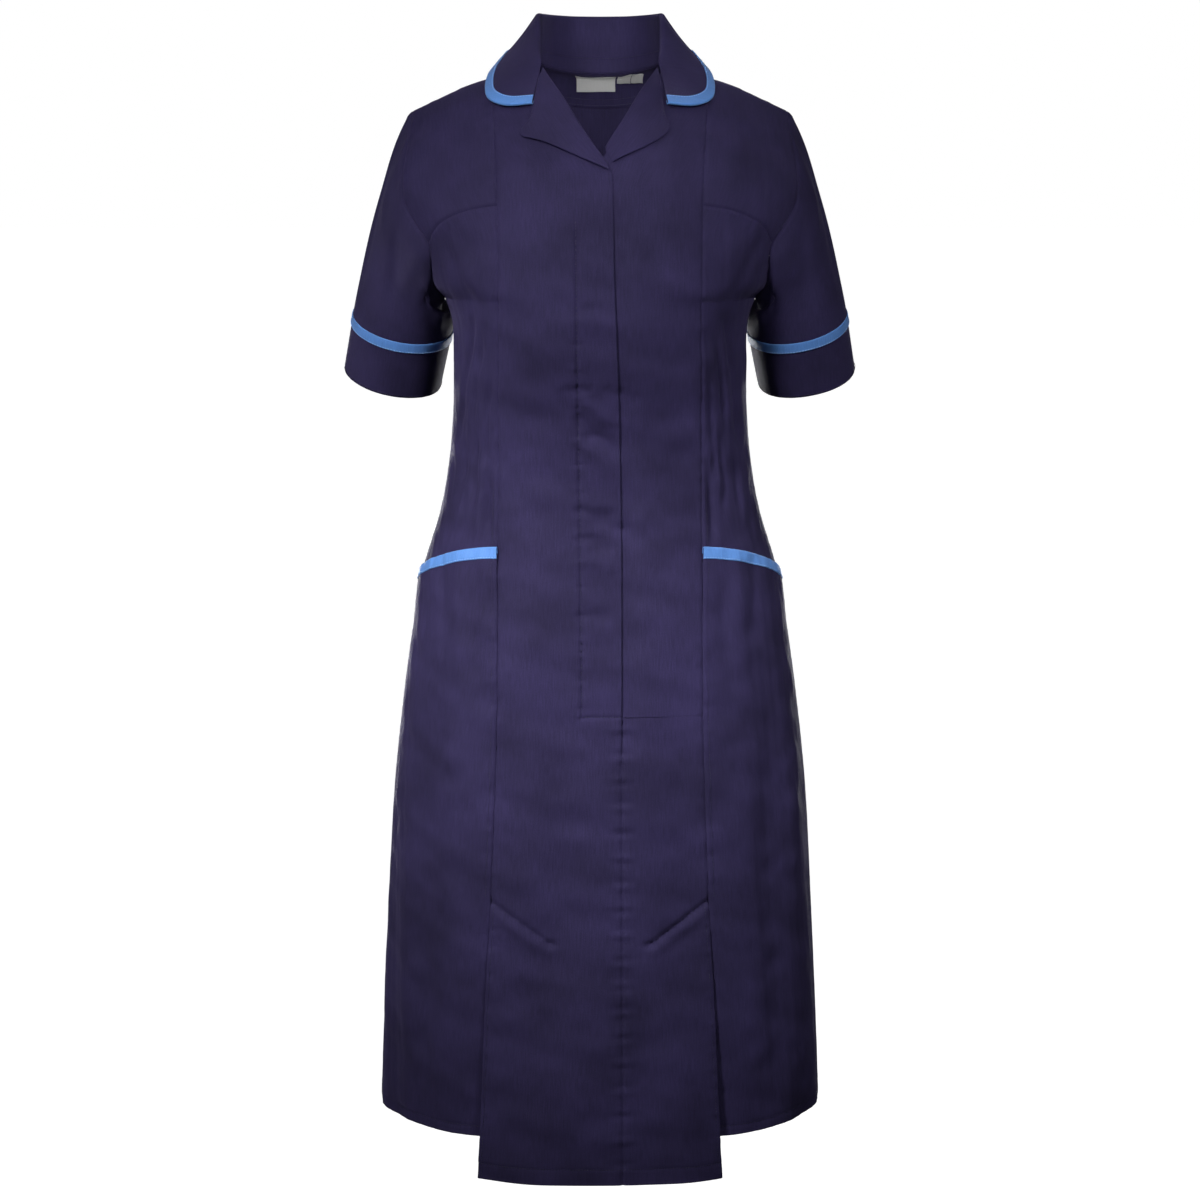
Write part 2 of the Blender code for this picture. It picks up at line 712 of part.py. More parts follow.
def cuff_point(side, share, up, lift):
    """A point of the cuff: share is round from the inner side, up is height over the hem."""
    axis, across, fore, hem = sleeve_frame(side)
    rise = up / CUFF_HEIGHT
    wide = mix(CUFF_HEM_RADII[0], CUFF_TOP_RADII[0], rise) + lift
    deep = mix(CUFF_HEM_RADII[1], CUFF_TOP_RADII[1], rise) + lift
    angle = share * 2.0 * pi
    return hem - axis * up - across * cos(angle) * wide + fore * sin(angle) * deep


def sleeve_point(side, start, level, share, along):
    """A point between the armhole (along 0) and the cuff's top (1), on a smooth curve."""
    axis = sleeve_frame(side)[0]
    end = cuff_point(side, share, CUFF_HEIGHT + 2 * SEAM, 0.0)
    top = ease(level)
    leave = Vector((side * mix(0.40, 0.62, top), 0.05, mix(-0.90, -0.78, top))).normalized()
    pull = mix(0.10, 0.13, top)
    t = along
    return (start * (2 * t**3 - 3 * t**2 + 1) + end * (3 * t**2 - 2 * t**3)
            + leave * pull * (t**3 - 2 * t**2 + t) + axis * 0.12 * (t**3 - t**2))


def build_sleeve(name, points, places, to_axis, look):
    """The sleeve's wall, which at the armhole follows the body's wall."""
    normals = grid_normals(points, ring=True)
    sign = 1.0 if normals[3][0].dot(to_axis(points[3][0])) > 0.0 else -1.0
    inward = [[normal * sign for normal in line] for line in normals]
    for i, (around, level) in enumerate(places):
        share = ease(2.0 * level)
        inward[0][i] = mix(inward[0][i], -form_normal(around, level), share).normalized()
    inner = [[p + n * CLOTH for p, n in zip(row, line)] for row, line in zip(points, inward)]
    closed_wall(name, points, inner, look, ring=True)


def build_sleeves(cloth, binding):
    for word, side in (("right", -1.0), ("left", 1.0)):
        ring = armhole_ring(side)
        levels = [level for _, level in armhole_places(side)]
        shares = ring_shares(ring, levels.index(1.0))
        points = [[sleeve_point(side, ring[i], levels[i], shares[i], along)
                   for i in range(len(ring))] for along in spread(6)]

        def to_axis(point, side=side):
            axis, _, _, hem = sleeve_frame(side)
            return hem + axis * (point - hem).dot(axis) - point

        build_sleeve(f"sleeve_{word}", points, armhole_places(side), to_axis, cloth)
        around = spread(24)[:-1]
        band = [[cuff_point(side, s, up, 0.0) for s in around] for up in (CUFF_HEIGHT, 0.030, 0.0)]
        wall_of_points(f"cuff_{word}", band, cloth, CLOTH, to_axis, ring=True)
        trim = [[cuff_point(side, s, up, 1.5 * REST + BINDING) for s in around]
                for up in (CUFF_HEIGHT + 0.0008, CUFF_HEIGHT - TRIM_WIDTH)]
        wall_of_points(f"cuff_trim_{word}", trim, binding, BINDING, to_axis, ring=True)


# ---- collar and lapels --------------------------------------------------------------
def collar_row(share, side, column):
    at = [smooth_vector(COLLAR, share, column, k) for k in range(3)]
    return Vector((side * at[0], at[1], at[2]))


def smooth_vector(table, at, column, axis):
    return smooth([(row[0], row[column][axis]) for row in table], at, 1)


def collar_section(share, side):
    """Across the collar: stand, rolled fold, fall, out to the edge."""
    neck, roll, edge = (collar_row(share, side, column) for column in (NECKLINE, ROLL, EDGE))
    radius = min(0.0026, 0.45 * (roll - neck).length)
    up = (roll - neck).normalized()
    out = edge - roll
    out = (out - up * out.dot(up)).normalized()
    centre = roll - up * radius + out * radius
    section = [neck, mix(neck, centre - out * radius, 0.55), centre - out * radius]
    section += [centre - out * radius * cos(turn) + up * radius * sin(turn) for turn in (0.9, 1.9)]
    fold = centre + (out * 0.75 + up * 0.66) * radius
    normal = (edge - fold).cross(Vector((-out.y, out.x, 0.0))).normalized()
    normal = normal if normal.z > 0.0 else -normal
    for step in (0.0, 0.22, 0.45, 0.72, 1.0):
        bulge = LEAF_BULGE * sin(step * pi)
        section.append(mix(fold, edge, step) + normal * bulge)
    return section


def build_collar(look):
    shares = [1.0, 0.95, 0.90, 0.84, 0.78, 0.70, 0.62, 0.55, 0.47, 0.38, 0.26, 0.13]
    right = [collar_section(share, -1.0) for share in shares]
    left = [collar_section(share, 1.0) for share in reversed(shares)]
    points = right + [collar_section(0.0, 1.0)] + left
    middle = len(points) // 2
    normals = grid_normals(points)
    sign = 1.0 if normals[middle][-2].y > 0.0 else -1.0
    half = FOLDED / 2
    outer = [[p + n * sign * half for p, n in zip(r, line)] for r, line in zip(points, normals)]
    inner = [[p - n * sign * half for p, n in zip(r, line)] for r, line in zip(points, normals)]
    closed_wall("collar", outer, inner, look)
    return points, normals, sign


def build_collar_trim(collar, look):
    """The binding on the leaf's outer edge, laid on the collar's own points."""
    points, normals, sign = collar
    outer, inner = [], []
    for row, line in zip(points, normals):
        edge, inside = row[-1], row[-2]
        into = (inside - edge).normalized()
        places = [edge + into * back for back in (-0.0004, TRIM_WIDTH / 2, TRIM_WIDTH)]
        slants = [line[-1], mix(line[-1], line[-2], 0.3).normalized(),
                  mix(line[-1], line[-2], 0.6).normalized()]
        base = FOLDED / 2 + 1.5 * REST
        outer.append([p + n * sign * (base + BINDING) for p, n in zip(places, slants)])
        inner.append([p + n * sign * base for p, n in zip(places, slants)])
    closed_wall("collar_trim", outer, inner, look)


def build_lapel(name, look, table, side):
    """A front facing turned out along its roll line, lying on the front."""
    def spot(share, row):
        x = mix(smooth(table, row, ROLL_X), smooth(table, row, EDGE_X), share)
        z = mix(smooth(table, row, ROLL_Z), smooth(table, row, EDGE_Z), share)
        level = level_at(x, z)
        return around_at(side * x, level), level, share

    outer, inner = [], []
    for row in spread(9):
        places = [spot(share, row) for share in (0.0, 0.3, 0.65, 1.0)]
        bases = [left_front_lift(a, b) if side > 0.0 else 0.0 for a, b, _ in places]
        puffs = [0.0006 + 0.0022 * sin(pi * share) * (1.0 - row) for _, _, share in places]
        lifts = [base + FOLDED + REST + puff for base, puff in zip(bases, puffs)]
        outer.append([on_form(a, b, up) for (a, b, _), up in zip(places, lifts)])
        inner.append([on_form(a, b, up - FOLDED) for (a, b, _), up in zip(places, lifts)])
    closed_wall(name, outer, inner, look)


# ---- inside the back neck -----------------------------------------------------------
def back_centre_spot(share, level):
    """Across the back between its princess seams, through the centre back."""
    right = around_at(-back_princess(level), level, behind=True)
    left = around_at(back_princess(level), level, behind=True) - 4.0
    return trimmed(right, left, share, level), level


def build_back_facing(look):
    def lift(around, level):
        return -CLOTH - REST

    levels = [level for level in BACK_RISE if FACING_LEVEL <= level < 1.0]
    patch("back_neck_facing", look, levels, spread(8), back_centre_spot, lift, wall=FACING)


def build_label(name, look, x_span, z_span, columns):
    """A bare label lying on the back neck facing."""
    def spot(share, row):
        x = mix(x_span[0], x_span[1], share)
        level = level_at(x, mix(z_span[0], z_span[1], row), behind=True)
        return around_at(x, level, behind=True), level

    def lift(around, level):
        return -CLOTH - REST - FACING - 5.5 * REST

    patch(name, look, (0.0, 1.0), spread(columns), spot, lift, wall=LABEL)


def main():
    for old in list(bpy.data.objects):
        bpy.data.objects.remove(old, do_unlink=True)
    cloth = material("navy_cloth", NAVY, 0.85)
    binding = material("pale_blue_binding", PALE, 0.75)
    label = material("label_white", WHITE, 0.80)

    build_fronts(cloth)
    for word, side in (("right", -1.0), ("left", 1.0)):
        build_yoke(f"yoke_front_{word}", cloth, side)
        build_side_front(f"side_front_{word}", cloth, side)
        build_side_skirt(f"side_skirt_{word}", cloth, side)
        build_pocket(f"pocket_{word}", cloth, side)
        build_pocket_trim(f"pocket_trim_{word}", binding, side)
        build_kick_pleat(f"kick_pleat_{word}", cloth, side)
        build_pleat_underlay(f"pleat_underlay_{word}", cloth, side)
    build_back(cloth)
    build_sleeves(cloth, binding)
    build_collar_trim(build_collar(cloth), binding)
    build_lapel("lapel_right", cloth, RIGHT_LAPEL, -1.0)
    build_lapel("lapel_left", cloth, LEFT_LAPEL, 1.0)
    build_back_facing(cloth)
    build_label("neck_label", label, (-0.0240, 0.0155), (-0.0360, -0.0165), 5)
    build_label("size_label_1", label, (0.0174, 0.0310), (-0.0280, -0.0175), 2)
    build_label("size_label_2", label, (0.0316, 0.0435), (-0.0310, -0.0215), 2)


main()
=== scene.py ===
"""Nurse uniform dress, worn shape with no wearer: cloth, bindings, labels and stitching.

Metres, Z up. The front faces -Y and the wearer's right is -X. The body is one form in two
coordinates: "around" runs from 0 at the centre front to 1 at the side seam and 2 at the
centre back, negative on the wearer's right; "level" is metres below the underarm where it
is negative, and above that the share of the height from underarm to shoulder seam.
"""

from math import pi, radians

import bpy
import numpy as np
from bpy.props import FloatProperty, FloatVectorProperty, PointerProperty
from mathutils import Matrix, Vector


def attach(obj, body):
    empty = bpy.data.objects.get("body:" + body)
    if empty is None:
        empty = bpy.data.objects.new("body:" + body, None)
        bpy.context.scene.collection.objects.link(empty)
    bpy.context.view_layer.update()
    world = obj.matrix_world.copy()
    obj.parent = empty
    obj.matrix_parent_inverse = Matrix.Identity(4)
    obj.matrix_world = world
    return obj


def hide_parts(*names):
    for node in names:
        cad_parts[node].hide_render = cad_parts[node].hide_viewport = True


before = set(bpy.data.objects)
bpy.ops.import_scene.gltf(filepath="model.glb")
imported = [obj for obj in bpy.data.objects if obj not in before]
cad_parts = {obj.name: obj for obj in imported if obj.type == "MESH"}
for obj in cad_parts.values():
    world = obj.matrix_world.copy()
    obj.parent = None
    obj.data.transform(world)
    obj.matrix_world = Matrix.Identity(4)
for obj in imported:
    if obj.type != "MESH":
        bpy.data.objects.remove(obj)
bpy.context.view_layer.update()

bl_info = {
    "name": "Nurse uniform dress",
    "version": (1, 0, 0),
    "blender": (4, 5, 0),
    "location": "3D View > Sidebar > Dress",
    "description": "Builds the cut pieces, bindings and stitching of a nurse uniform dress",
    "category": "Object",
}

# ---- sizes shared with the cut pieces -------------------------------------------------
FOLDED = 0.0016             # collar and lapels, two layers pressed together
FACING = 0.0012
SEAM = -0.00004             # each piece goes this far past its seam line
REST = 0.0004               # clearance of a layer that lies on another
POCKET_CLOTH = 0.0010       # the layer behind a pocket's mouth
BINDING = 0.0007            # bindings of the collar and pockets
CUFF_BINDING = 0.0008
LABEL = 0.0005

UNDERARM = -0.226
NECK_HALF = 0.066
SHOULDER_HALF = 0.183
SHOULDER_DROP = 0.054
SHOULDER_LIFT = 0.0046
SHOULDER_Y = 0.003
BACK_NECK_DROP = 0.0115
FRONT_NECK_DROP = 0.020
BACK_NECK_REACH = 0.065
FRONT_NECK_REACH = 0.052
FRONT_NECK_HALF = 0.072
NECK_FADE = 0.16            # half width over which the neck's hollow fades out
SHOULDER_MEAN = -0.016      # middle height of the shoulder seam
RING_POWER = 2.3            # 2 is an ellipse, more is squarer
FRONT_ROLL = 1.7
BACK_ROLL = 2.4

SIDE_HEM = -1.041
FRONT_HEM = -1.0790
PLEAT_TOP = -0.804
PLEAT_FOOT = -0.844
PLEAT_INNER = 0.048
PLEAT_OUTER = 0.1059
PLEAT_PROUD = 0.013

FLY_END = -0.621
FLY_STITCH_TOP = -0.150
BREAK_RIGHT = -0.1034
BREAK = -0.094
BREAK_LEFT = -0.120
ROLL_TOP = 0.95
GORGE = 0.0556
YOKE_PRINCESS = 0.4257
YOKE_ARMHOLE = 0.275
MOUTH_TOP = -0.4625
MOUTH_FALL = 0.037
POCKET_PROUD = 0.0026
POCKET_OVERLAP = 0.012
POCKET_FLOOR = -0.620
SIDE_BLEND = -0.560         # below this height the side rows run level
TRIM_WIDTH = 0.010
TRIM_PROUD = 0.0010
TRIM_ROWS = (TRIM_WIDTH, TRIM_WIDTH - 0.0004, TRIM_WIDTH - 0.0016, 0.0065, 0.0045, 0.0028,
             0.0014, 0.0004)    # how far in from the edge a binding's rows lie
LEAF_BULGE = -0.0012
FACING_LEVEL = 0.84
BACK_LAP = 0.0016           # turn by which the centre back laps over each side back

CUFF_HEM = np.array((0.2075, 0.050, -0.3105))
SLEEVE_AXIS = np.array((0.20, 0.29, -0.935)) / np.linalg.norm((0.20, 0.29, -0.935))
CUFF_HEIGHT = 0.060
CUFF_TOP_RADII = (0.0500, 0.0570)
CUFF_HEM_RADII = (0.0490, 0.0520)
CUFF_GIRTH = 0.33
SLEEVE_GIRTH = 0.35
SLEEVE_RUN = 0.17

# ---- stitched rows and seams ----------------------------------------------------------
FRONT_HEM_TURN = 0.0155     # the hem's stitching above the hem
SIDE_HEM_TURN = 0.010
CUFF_ROW = 0.0022
PLEAT_ROW_GAP = 0.0035      # the row inside the pleat's edge
SIDE_ROW_GAP = 0.0052       # the row outside the princess seam
FLY_FOOT = -0.0177          # where the row at the fly's end starts
STITCH_RISE = 0.0001
STITCH_FILL = 0.84          # share of its pitch that a stitch fills
THREAD_RADIUS = 0.00034
SEAM_DIP = 0.0011
SEAM_DIP_HALF = 0.0017
PUCKER_RISE = 0.00034
PUCKER_LENGTH = 0.016
PUCKER_REACH = 0.007
FRONT_STEP = 0.0026         # spacing of the points on the fronts and side fronts
SIDE_STEP = 0.0028          # spacing on the yokes and side skirts
BACK_STEP = 0.0038
EDGE_STEP = 0.0008          # closest spacing, at a piece's edges

# z, half width, front depth, back depth
BODY = np.array((
    (-1.085, 0.2270, 0.160, 0.157),
    (-0.970, 0.2220, 0.153, 0.150),
    (-0.842, 0.2150, 0.145, 0.142),
    (-0.715, 0.2071, 0.136, 0.135),
    (-0.622, 0.1967, 0.128, 0.130),
    (-0.561, 0.1879, 0.122, 0.124),
    (-0.500, 0.1771, 0.113, 0.112),
    (-0.439, 0.1585, 0.104, 0.094),
    (-0.390, 0.1492, 0.101, 0.081),
    (-0.339, 0.1446, 0.107, 0.083),
    (-0.290, 0.1436, 0.121, 0.094),
    (-0.250, 0.1445, 0.129, 0.101),
    (-0.226, 0.1520, 0.130, 0.103),
))
HALF_WIDTH, FRONT, BACK = 1, 2, 3

# level, reach of the form's side, front cut and back cut as shares of that reach
ARMHOLE = np.array((
    (0.00, 0.152, 1.000, 1.000),
    (0.06, 0.164, 0.975, 0.980),
    (0.15, 0.172, 0.940, 0.965),
    (0.27, 0.180, 0.910, 0.955),
    (0.40, 0.193, 0.920, 0.950),
    (0.51, 0.201, 0.930, 0.952),
    (0.60, 0.204, 0.930, 0.955),
    (0.70, 0.203, 0.933, 0.960),
    (0.82, 0.197, 0.946, 0.967),
    (0.92, 0.190, 0.965, 0.980),
    (1.00, 0.183, 1.000, 1.000),
))
REACH, FRONT_CUT, BACK_CUT = 1, 2, 3

# z, front princess seam, back princess seam, fly edge, fly stitching
SEAMS = np.array((
    (-1.085, 0.1172, 0.128, 0.0219, -0.0177),
    (-0.897, 0.1110, 0.112, 0.0217, -0.0177),
    (-0.804, 0.1059, 0.104, 0.0216, -0.0177),
    (-0.625, 0.0996, 0.092, 0.0206, -0.0177),
    (-0.460, 0.0986, 0.080, 0.0202, -0.0190),
    (-0.318, 0.0972, 0.078, 0.0175, -0.0213),
    (-0.226, 0.0961, 0.083, 0.0140, -0.0222),
    (-0.177, 0.0960, 0.087, 0.0126, -0.0226),
    (-0.103, 0.0985, 0.093, 0.0117, -0.0229),
))
FRONT_PRINCESS, BACK_PRINCESS, FLY_EDGE, FLY_STITCH = 1, 2, 3, 4
SHOULDER_PRINCESS = 0.1065

# share from centre back to front end; neckline, roll line and outer edge of the collar
COLLAR = np.array((
    (0.00, 0.0000, 0.0670, -0.0105, 0.0000, 0.0720, 0.0420, 0.0000, 0.1040, -0.0120),
    (0.15, 0.0260, 0.0610, -0.0087, 0.0260, 0.0640, 0.0420, 0.0340, 0.0990, -0.0105),
    (0.30, 0.0450, 0.0470, -0.0053, 0.0450, 0.0460, 0.0425, 0.0640, 0.0800, -0.0060),
    (0.42, 0.0560, 0.0315, -0.0023, 0.0535, 0.0280, 0.0427, 0.0830, 0.0530, -0.0010),
    (0.52, 0.0618, 0.0170, 0.0000, 0.0570, 0.0120, 0.0420, 0.0935, 0.0270, 0.0015),
    (0.60, 0.0645, 0.0030, 0.0007, 0.0573, -0.0010, 0.0355, 0.1005, 0.0100, -0.0060),
    (0.68, 0.0640, -0.0090, 0.0003, 0.0571, -0.0095, 0.0262, 0.1065, -0.0080, -0.0150),
    (0.76, 0.0625, -0.0180, -0.0005, 0.0568, -0.0175, 0.0175, 0.1085, -0.0300, -0.0270),
    (0.84, 0.0606, -0.0265, -0.0025, 0.0565, -0.0255, 0.0095, 0.1045, -0.0520, -0.0375),
    (0.92, 0.0585, -0.0345, -0.0050, 0.0561, -0.0335, 0.0025, 0.0880, -0.0700, -0.0430),
    (1.00, 0.0565, -0.0405, -0.0075, 0.0556, -0.0420, -0.0035, 0.0632, -0.0835, -0.0415),
))

# share from the gorge to the break: roll line x, z and outer edge x, z
RIGHT_LAPEL = np.array((
    (0.00, 0.0545, -0.0110, 0.0622, -0.0447),
    (0.18, 0.0457, -0.0240, 0.0660, -0.0600),
    (0.36, 0.0368, -0.0376, 0.0726, -0.0725),
    (0.52, 0.0262, -0.0541, 0.0530, -0.0782),
    (0.68, 0.0156, -0.0705, 0.0345, -0.0858),
    (0.84, 0.0030, -0.0880, 0.0155, -0.0940),
    (1.00, -0.0080, -0.1015, -0.0086, -0.1040),
))
LEFT_LAPEL = np.array((
    (0.00, 0.0545, -0.0110, 0.0590, -0.0440),
    (0.20, 0.0450, -0.0245, 0.0615, -0.0560),
    (0.38, 0.0362, -0.0380, 0.0645, -0.0668),
    (0.46, 0.0317, -0.0452, 0.0585, -0.0738),
    (0.60, 0.0240, -0.0575, 0.0450, -0.0812),
    (0.80, 0.0140, -0.0725, 0.0275, -0.0890),
    (1.00, 0.0060, -0.0845, 0.0120, -0.0962),
))
ROLL_X, ROLL_Z, EDGE_X, EDGE_Z = 1, 2, 3, 4

# ---- creases: x, z of one end, x, z of the other, half width, height (troughs negative) --
FRONT_CREASES = (
    # drag from the bust to the waist on the side fronts
    (-0.1205, -0.246, -0.1290, -0.300, 0.0036, -0.0021),
    (-0.1130, -0.262, -0.1225, -0.336, 0.0034, -0.0020),
    (-0.1180, -0.292, -0.1265, -0.352, 0.0036, 0.0014),
    (-0.1290, -0.300, -0.1360, -0.356, 0.0040, -0.0014),
    (-0.1050, -0.306, -0.1130, -0.384, 0.0034, -0.0019),
    (-0.1110, -0.340, -0.1165, -0.404, 0.0036, 0.0014),
    (-0.1175, -0.356, -0.1225, -0.420, 0.0040, -0.0017),
    (-0.1060, -0.386, -0.1100, -0.448, 0.0038, -0.0019),
    (-0.1140, -0.404, -0.1200, -0.452, 0.0042, 0.0013),
    (-0.1290, -0.372, -0.1370, -0.425, 0.0050, -0.0014),
    (-0.1330, -0.408, -0.1420, -0.452, 0.0050, 0.0012),
    (0.1190, -0.242, 0.1275, -0.298, 0.0036, -0.0020),
    (0.1120, -0.268, 0.1205, -0.344, 0.0034, -0.0021),
    (0.1170, -0.288, 0.1255, -0.346, 0.0036, 0.0013),
    (0.1280, -0.306, 0.1350, -0.366, 0.0040, -0.0015),
    (0.1045, -0.312, 0.1120, -0.392, 0.0034, -0.0018),
    (0.1105, -0.346, 0.1160, -0.410, 0.0036, 0.0014),
    (0.1165, -0.360, 0.1210, -0.424, 0.0040, -0.0017),
    (0.1060, -0.392, 0.1100, -0.452, 0.0038, -0.0018),
    (0.1290, -0.380, 0.1370, -0.430, 0.0050, -0.0014),
    (0.1345, -0.404, 0.1430, -0.450, 0.0050, 0.0012),
    # by the princess seams above the pockets
    (-0.1070, -0.408, -0.1085, -0.462, 0.0042, -0.0013),
    (0.1070, -0.412, 0.1085, -0.464, 0.0042, -0.0012),
    # the placket gives at the waist
    (-0.0205, -0.330, 0.0140, -0.372, 0.0052, -0.0024),
    (-0.0200, -0.303, -0.0120, -0.311, 0.0046, -0.0008),
    (-0.0160, -0.318, 0.0130, -0.340, 0.0050, 0.0012),
    (-0.0190, -0.352, 0.0090, -0.388, 0.0055, 0.0012),
    (0.0040, -0.306, 0.0175, -0.313, 0.0048, -0.0007),
    (0.0200, -0.310, 0.0330, -0.322, 0.0060, -0.0009),
    (-0.0310, -0.304, -0.0220, -0.314, 0.0050, -0.0006),
    (-0.0180, -0.360, -0.0040, -0.352, 0.0045, -0.0012),
    (-0.0190, -0.420, 0.0020, -0.438, 0.0050, -0.0016),
    (0.0020, -0.424, 0.0190, -0.446, 0.0055, -0.0019),
    (-0.0160, -0.448, 0.0100, -0.462, 0.0055, -0.0015),
    (-0.0190, -0.468, 0.0150, -0.480, 0.0060, 0.0010),
    (-0.0200, -0.520, 0.0060, -0.528, 0.0060, -0.0011),
    (0.0230, -0.402, 0.0300, -0.452, 0.0050, -0.0013),
    (-0.0170, -0.228, 0.0120, -0.236, 0.0060, -0.0008),
    # a gathered spot where the fly stitching starts
    (-0.0290, -0.122, -0.0210, -0.128, 0.0022, -0.0008),
    (-0.0240, -0.116, -0.0175, -0.119, 0.0020, -0.0007),
    (-0.0215, -0.134, -0.0150, -0.130, 0.0022, 0.0006),
    # long soft folds of the skirt
    (-0.0620, -0.500, -0.0680, -0.800, 0.0190, 0.0013),
    (-0.0400, -0.560, -0.0430, -0.900, 0.0170, -0.0012),
    (0.0560, -0.510, 0.0620, -0.790, 0.0200, 0.0012),
    (0.0780, -0.560, 0.0830, -0.850, 0.0160, -0.0011),
    (-0.0800, -0.600, -0.0860, -0.780, 0.0140, -0.0009),
    (-0.0300, -0.880, -0.0340, -1.060, 0.0200, 0.0014),
    (0.0600, -0.860, 0.0640, -1.050, 0.0190, -0.0012),
    (-0.0750, -0.900, -0.0790, -1.060, 0.0160, -0.0011),
    # below the pockets
    (-0.1500, -0.482, -0.1530, -0.560, 0.0075, -0.0013),
    (-0.1350, -0.478, -0.1385, -0.585, 0.0085, 0.0012),
    (-0.1200, -0.474, -0.1230, -0.560, 0.0075, -0.0012),
    (0.1480, -0.482, 0.1515, -0.552, 0.0075, -0.0013),
    (0.1330, -0.478, 0.1375, -0.595, 0.0085, 0.0012),
    (0.1190, -0.474, 0.1220, -0.566, 0.0075, -0.0011),
    # long folds of the lower side fronts
    (-0.1420, -0.620, -0.1520, -0.960, 0.0180, 0.0020),
    (-0.1650, -0.660, -0.1760, -1.000, 0.0170, -0.0018),
    (-0.1870, -0.720, -0.1950, -1.020, 0.0150, 0.0014),
    (0.1400, -0.640, 0.1490, -0.970, 0.0180, 0.0019),
    (0.1640, -0.640, 0.1740, -1.010, 0.0170, -0.0019),
    (0.1880, -0.700, 0.1960, -1.000, 0.0150, 0.0014),
    # chest, from the armholes
    (-0.1530, -0.165, -0.1180, -0.232, 0.0075, -0.0010),
    (0.1540, -0.168, 0.1200, -0.226, 0.0075, -0.0010),
    (-0.1350, -0.060, -0.1200, -0.130, 0.0100, 0.0008),
    (0.1340, -0.064, 0.1190, -0.126, 0.0100, 0.0008),
)
BACK_CREASES = (
    # the small of the back
    (-0.0600, -0.345, 0.0250, -0.362, 0.0080, -0.0016),
    (-0.0150, -0.372, 0.0680, -0.356, 0.0085, -0.0015),
    (-0.0500, -0.390, 0.0350, -0.402, 0.0090, -0.0012),
    (-0.0250, -0.330, 0.0500, -0.322, 0.0090, 0.0011),
    (-0.1250, -0.300, -0.0880, -0.352, 0.0065, -0.0014),
    (0.1240, -0.306, 0.0860, -0.348, 0.0065, -0.0013),
    (-0.1320, -0.352, -0.0950, -0.398, 0.0070, -0.0012),
    (0.1330, -0.346, 0.0940, -0.402, 0.0070, -0.0013),
    # from the armholes towards the shoulder blades
    (-0.1600, -0.190, -0.1080, -0.232, 0.0085, -0.0013),
    (0.1610, -0.186, 0.1100, -0.226, 0.0085, -0.0013),
    (-0.1500, -0.120, -0.1150, -0.190, 0.0100, 0.0010),
    (0.1490, -0.124, 0.1140, -0.186, 0.0100, 0.0010),
    # long soft folds of the skirt
    (-0.0350, -0.560, -0.0420, -0.980, 0.0220, 0.0024),
    (0.0100, -0.620, 0.0090, -1.020, 0.0200, -0.0021),
    (0.0480, -0.540, 0.0560, -0.960, 0.0210, 0.0023),
    (-0.0780, -0.640, -0.0900, -1.030, 0.0190, -0.0021),
    (0.0880, -0.610, 0.1010, -1.020, 0.0190, -0.0022),
    (-0.1280, -0.560, -0.1400, -0.980, 0.0200, 0.0023),
    (0.1300, -0.580, 0.1420, -1.000, 0.0200, 0.0022),
    (-0.1640, -0.660, -0.1750, -1.020, 0.0170, -0.0018),
    (0.1650, -0.640, 0.1760, -1.010, 0.0170, -0.0019),
)
# share round from the underarm, share of the length, the same of the other end, ...
SLEEVE_CREASES = (
    (0.10, 0.16, 0.17, 0.62, 0.0070, -0.0022),
    (0.19, 0.10, 0.24, 0.50, 0.0080, 0.0016),
    (0.27, 0.20, 0.29, 0.66, 0.0085, -0.0014),
    (0.06, 0.40, 0.12, 0.82, 0.0080, 0.0015),
    (0.40, 0.04, 0.38, 0.40, 0.0110, 0.0014),
    (0.47, 0.30, 0.45, 0.80, 0.0120, -0.0012),
    (0.60, 0.06, 0.63, 0.46, 0.0110, 0.0014),
    (0.72, 0.18, 0.74, 0.64, 0.0090, -0.0018),
    (0.82, 0.12, 0.85, 0.56, 0.0085, 0.0016),
    (0.91, 0.20, 0.89, 0.66, 0.0075, -0.0020),
)


# ---- small helpers --------------------------------------------------------------------
def mix(a, b, share):
    """The value a share of the way from a to b."""
    return a + (b - a) * share


def ease(value):
    """A smooth step from 0 to 1."""
    value = np.clip(value, 0.0, 1.0)
    return value * value * (3.0 - 2.0 * value)


def unit(vectors):
    """Vectors scaled to length one."""
    return vectors / np.maximum(np.linalg.norm(vectors, axis=-1, keepdims=True), 1e-12)


def smooth(table, at, column):
    """A table's column read at any places, along a smooth curve through its rows."""
    xs, ys = table[:, 0], table[:, column]
    last = len(xs) - 1
    at = np.clip(at, xs[0], xs[last])
    low = np.maximum(np.arange(last + 1) - 1, 0)
    high = np.minimum(np.arange(last + 1) + 1, last)
    slopes = (ys[high] - ys[low]) / (xs[high] - xs[low])
    i = np.clip(np.searchsorted(xs, at, side="left") - 1, 0, last - 1)
    width = xs[i + 1] - xs[i]
    t = (at - xs[i]) / width
    return (ys[i] * (2 * t**3 - 3 * t**2 + 1) + ys[i + 1] * (3 * t**2 - 2 * t**3)
            + slopes[i] * width * (t**3 - 2 * t**2 + t) + slopes[i + 1] * width * (t**3 - t**2))


def wander(along, size, turn=0.0):
    """An uneven wave, about -1 to 1, whose humps are about "size" long."""
    beat = 2.0 * pi * along / size
    return (0.52 * np.sin(beat + turn) + 0.30 * np.sin(1.618 * beat + 1.3 + 2.1 * turn)
            + 0.24 * np.sin(0.447 * beat + 0.4 - turn))


# ---- the form -------------------------------------------------------------------------
def reach_at(level):
    """Half width of the form at a level."""
    low = smooth(BODY, UNDERARM + level, HALF_WIDTH)
    return np.where(level <= 0.0, low, smooth(ARMHOLE, level, REACH))


